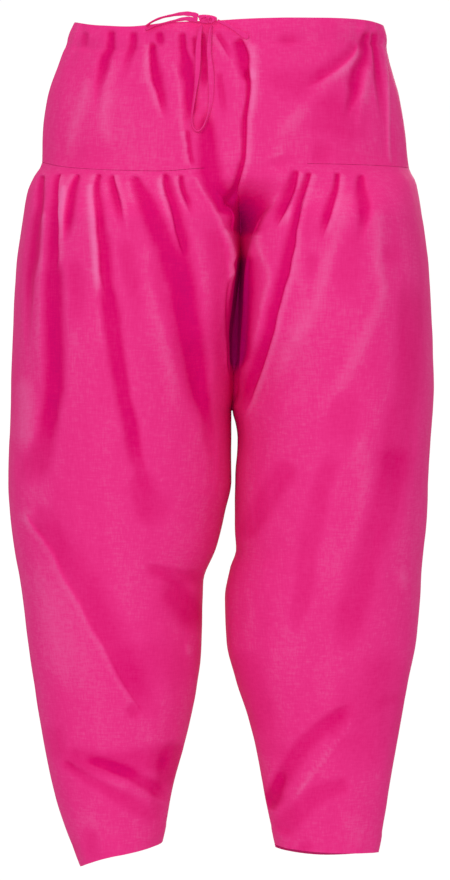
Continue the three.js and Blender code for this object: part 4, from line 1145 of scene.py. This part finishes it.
class Socket:
    """A node's output that takes part in sums."""

    def __init__(self, tree, link):
        self.tree, self.link = tree, link

    def _math(self, operation, a, b):
        return make_node(self.tree, "ShaderNodeMath", {"operation": operation}, {0: a, 1: b})[0]

    def __add__(self, other):
        return self._math("ADD", self, other)

    def __radd__(self, other):
        return self._math("ADD", other, self)

    def __sub__(self, other):
        return self._math("SUBTRACT", self, other)

    def __rsub__(self, other):
        return self._math("SUBTRACT", other, self)

    def __mul__(self, other):
        return self._math("MULTIPLY", self, other)

    def __rmul__(self, other):
        return self._math("MULTIPLY", other, self)


def make_node(tree, kind, settings=None, inputs=None):
    """A node with its settings and the values or links of its sockets, as its outputs."""
    node = tree.nodes.new(kind)
    for key, value in (settings or {}).items():
        if key == "stops":
            ramp = node.color_ramp.elements
            while len(ramp) < len(value):
                ramp.new(0.5)
            for stop, (at, colour) in zip(ramp, value):
                stop.position, stop.color = at, colour
        else:
            setattr(node, key, value)
    for key, value in (inputs or {}).items():
        if isinstance(value, Socket):
            tree.links.new(value.link, node.inputs[key])
        else:
            node.inputs[key].default_value = value
    return [Socket(tree, output) for output in node.outputs]


# How far the noise is drawn out for the warp, the weft and the clouded dye, and how fine it is.
WARP_DRAWN, WEFT_DRAWN, THREADS_FINE = (1, 1, 0.12), (0.16, 0.16, 1), 620.0
CLOUD_DRAWN, CLOUD_FINE = (1, 1, 0.3), 30.0
THREADS_UNEVEN, CLOUD_UNEVEN = 0.55, 0.5
COTTON_ROUGH, COTTON_GLOSS = 0.6, 0.04
WEAVE_STRENGTH, WEAVE_DEEP = 0.2, 0.0004


def drawn_noise(tree, place, drawn, fine):
    """Noise drawn out one way, as threads or hanging clouds are."""
    at = make_node(tree, "ShaderNodeMapping", {}, {"Vector": place, "Scale": drawn})[0]
    return make_node(tree, "ShaderNodeTexNoise", {}, {"Vector": at, "Scale": fine, "Detail": 2.0})[0]


def cotton(name, colours):
    """Plain woven cotton: a fine weave, faint slubs and a soft gloss. The colours run from a painted
    highlight for the ridges through the plain cloth to painted shade for the folds and the hollow
    between the legs, and the cloth's painted shade and highlight picks among them."""
    material = bpy.data.materials.new(name)
    material.use_nodes = True
    tree = material.node_tree
    tree.nodes.clear()
    place = make_node(tree, "ShaderNodeTexCoord")[3]
    warp = drawn_noise(tree, place, WARP_DRAWN, THREADS_FINE)
    weft = drawn_noise(tree, place, WEFT_DRAWN, THREADS_FINE)
    cloud = drawn_noise(tree, place, CLOUD_DRAWN, CLOUD_FINE)
    # The points' painted shade and highlight picks the colour
    tint = make_node(tree, "ShaderNodeAttribute", {"attribute_name": "tint"})[2]
    uneven = (warp + weft - 1) * THREADS_UNEVEN + (cloud - 0.5) * CLOUD_UNEVEN
    stops = list(zip((0, 1 / 3, 2 / 3, 1), colours))
    at = (tint + uneven + 1) * (1 / 3)
    colour = make_node(tree, "ShaderNodeValToRGB", {"stops": stops}, {"Fac": at})[0]
    height = warp * 0.5 + weft * 0.5
    bump = make_node(tree, "ShaderNodeBump", {}, {
        "Height": height, "Strength": WEAVE_STRENGTH, "Distance": WEAVE_DEEP})[0]
    shader = make_node(tree, "ShaderNodeBsdfPrincipled", {}, {
        "Base Color": colour, "Roughness": COTTON_ROUGH, "Normal": bump,
        "Specular IOR Level": COTTON_GLOSS})[0]
    make_node(tree, "ShaderNodeOutputMaterial", {}, {"Surface": shader})
    return material


# A painted highlight for lit ridges, the plain pink, painted shade for the folds and darker painted
# shade for the hollow
PINK_PAINTED_HIGHLIGHT = (0.84, 0.14, 0.38, 1)
PINK = (0.8, 0.03, 0.23, 1)
PINK_PAINTED_FOLD_SHADE = (0.68, 0.0008, 0.14, 1)
PINK_PAINTED_HOLLOW_SHADE = (0.4, 0.0005, 0.13, 1)
PINKS = (PINK_PAINTED_HIGHLIGHT, PINK, PINK_PAINTED_FOLD_SHADE, PINK_PAINTED_HOLLOW_SHADE)
cloth_cotton = cotton("pink_cotton", PINKS)
cord_cotton = cotton("cord_cotton", PINKS)
for piece in panels.values():
    piece.data.materials.append(cloth_cotton)
for piece in cords + [knot]:
    piece.data.materials.append(cord_cotton)


# Light, floor and background

# Each light's place and size in metres, and its power in watts.
LIGHTS = (
    ("key", (-1.2, -3.9, 0.5), 1.2, 33),
    ("front", (-0.2, -4.8, -0.2), 0.8, 29),
    ("fill", (1.5, -3.8, -0.4), 1.6, 16),
    ("back", (0.6, 3.2, 1.0), 1.6, 60),
    ("top", (0, 0.2, 2.4), 1.6, 24),
)
LIT_PLACE = (0, 0, -0.5)
STUDIO_LIGHT = 0.62  # how strongly the white background lights the cloth
STUDIO_SEEN = 0.4  # and how much brighter it is seen
FLOOR_RADIUS, FLOOR_SIDES, FLOOR_Z = 2.4, 96, -1.06
FLOOR_WHITE, FLOOR_ROUGH = (0.97, 0.97, 0.97, 1), 0.9
FLOOR_DRAWN = (0.5, 0.5, 0)
FLOOR_FADES, FLOOR_COVERS, FLOOR_MOST = 0.3, 0.75, 0.3


def set_light():
    """Soft studio light from the front and the upper left, with a white background."""
    world = bpy.data.worlds.new("studio")
    bpy.context.scene.world = world
    world.use_nodes = True
    tree = world.node_tree
    tree.nodes.clear()
    seen = make_node(tree, "ShaderNodeLightPath")[0]
    strength = seen * STUDIO_SEEN + STUDIO_LIGHT
    back = make_node(tree, "ShaderNodeBackground", {}, {"Color": (1, 1, 1, 1), "Strength": strength})[0]
    make_node(tree, "ShaderNodeOutputWorld", {}, {"Surface": back})
    for name, at, size, power in LIGHTS:
        data = bpy.data.lights.new(name, "AREA")
        data.size = size
        data.energy = power
        lamp = bpy.data.objects.new(name, data)
        lamp.location = at
        aim = Vector(LIT_PLACE) - Vector(at)
        lamp.rotation_euler = aim.to_track_quat("-Z", "Y").to_euler()
        bpy.context.scene.collection.objects.link(lamp)


def lay_floor():
    """A pale floor under the garment that fades into the white further out."""
    bm = bmesh.new()
    bmesh.ops.create_circle(bm, cap_ends=True, segments=FLOOR_SIDES, radius=FLOOR_RADIUS)
    bmesh.ops.translate(bm, verts=bm.verts, vec=(0, 0, FLOOR_Z))
    mesh = bpy.data.meshes.new("floor")
    bm.to_mesh(mesh)
    bm.free()
    floor = new_object("floor", mesh)
    material = bpy.data.materials.new("pale_floor")
    material.use_nodes = True
    tree = material.node_tree
    tree.nodes.clear()
    place = make_node(tree, "ShaderNodeTexCoord")[3]
    flat = make_node(tree, "ShaderNodeMapping", {}, {"Vector": place, "Scale": FLOOR_DRAWN})[0]
    near = make_node(tree, "ShaderNodeTexGradient", {"gradient_type": "SPHERICAL"}, {"Vector": flat})[1]
    cover = make_node(tree, "ShaderNodeMapRange", {"interpolation_type": "SMOOTHSTEP"},
                      {"Value": near, "From Min": FLOOR_FADES, "From Max": FLOOR_COVERS,
                       "To Max": FLOOR_MOST})[0]
    shader = make_node(tree, "ShaderNodeBsdfPrincipled", {}, {
        "Base Color": FLOOR_WHITE, "Roughness": FLOOR_ROUGH, "Alpha": cover})[0]
    make_node(tree, "ShaderNodeOutputMaterial", {}, {"Surface": shader})
    mesh.materials.append(material)


set_light()
lay_floor()
bpy.context.scene.view_settings.view_transform = "Standard"
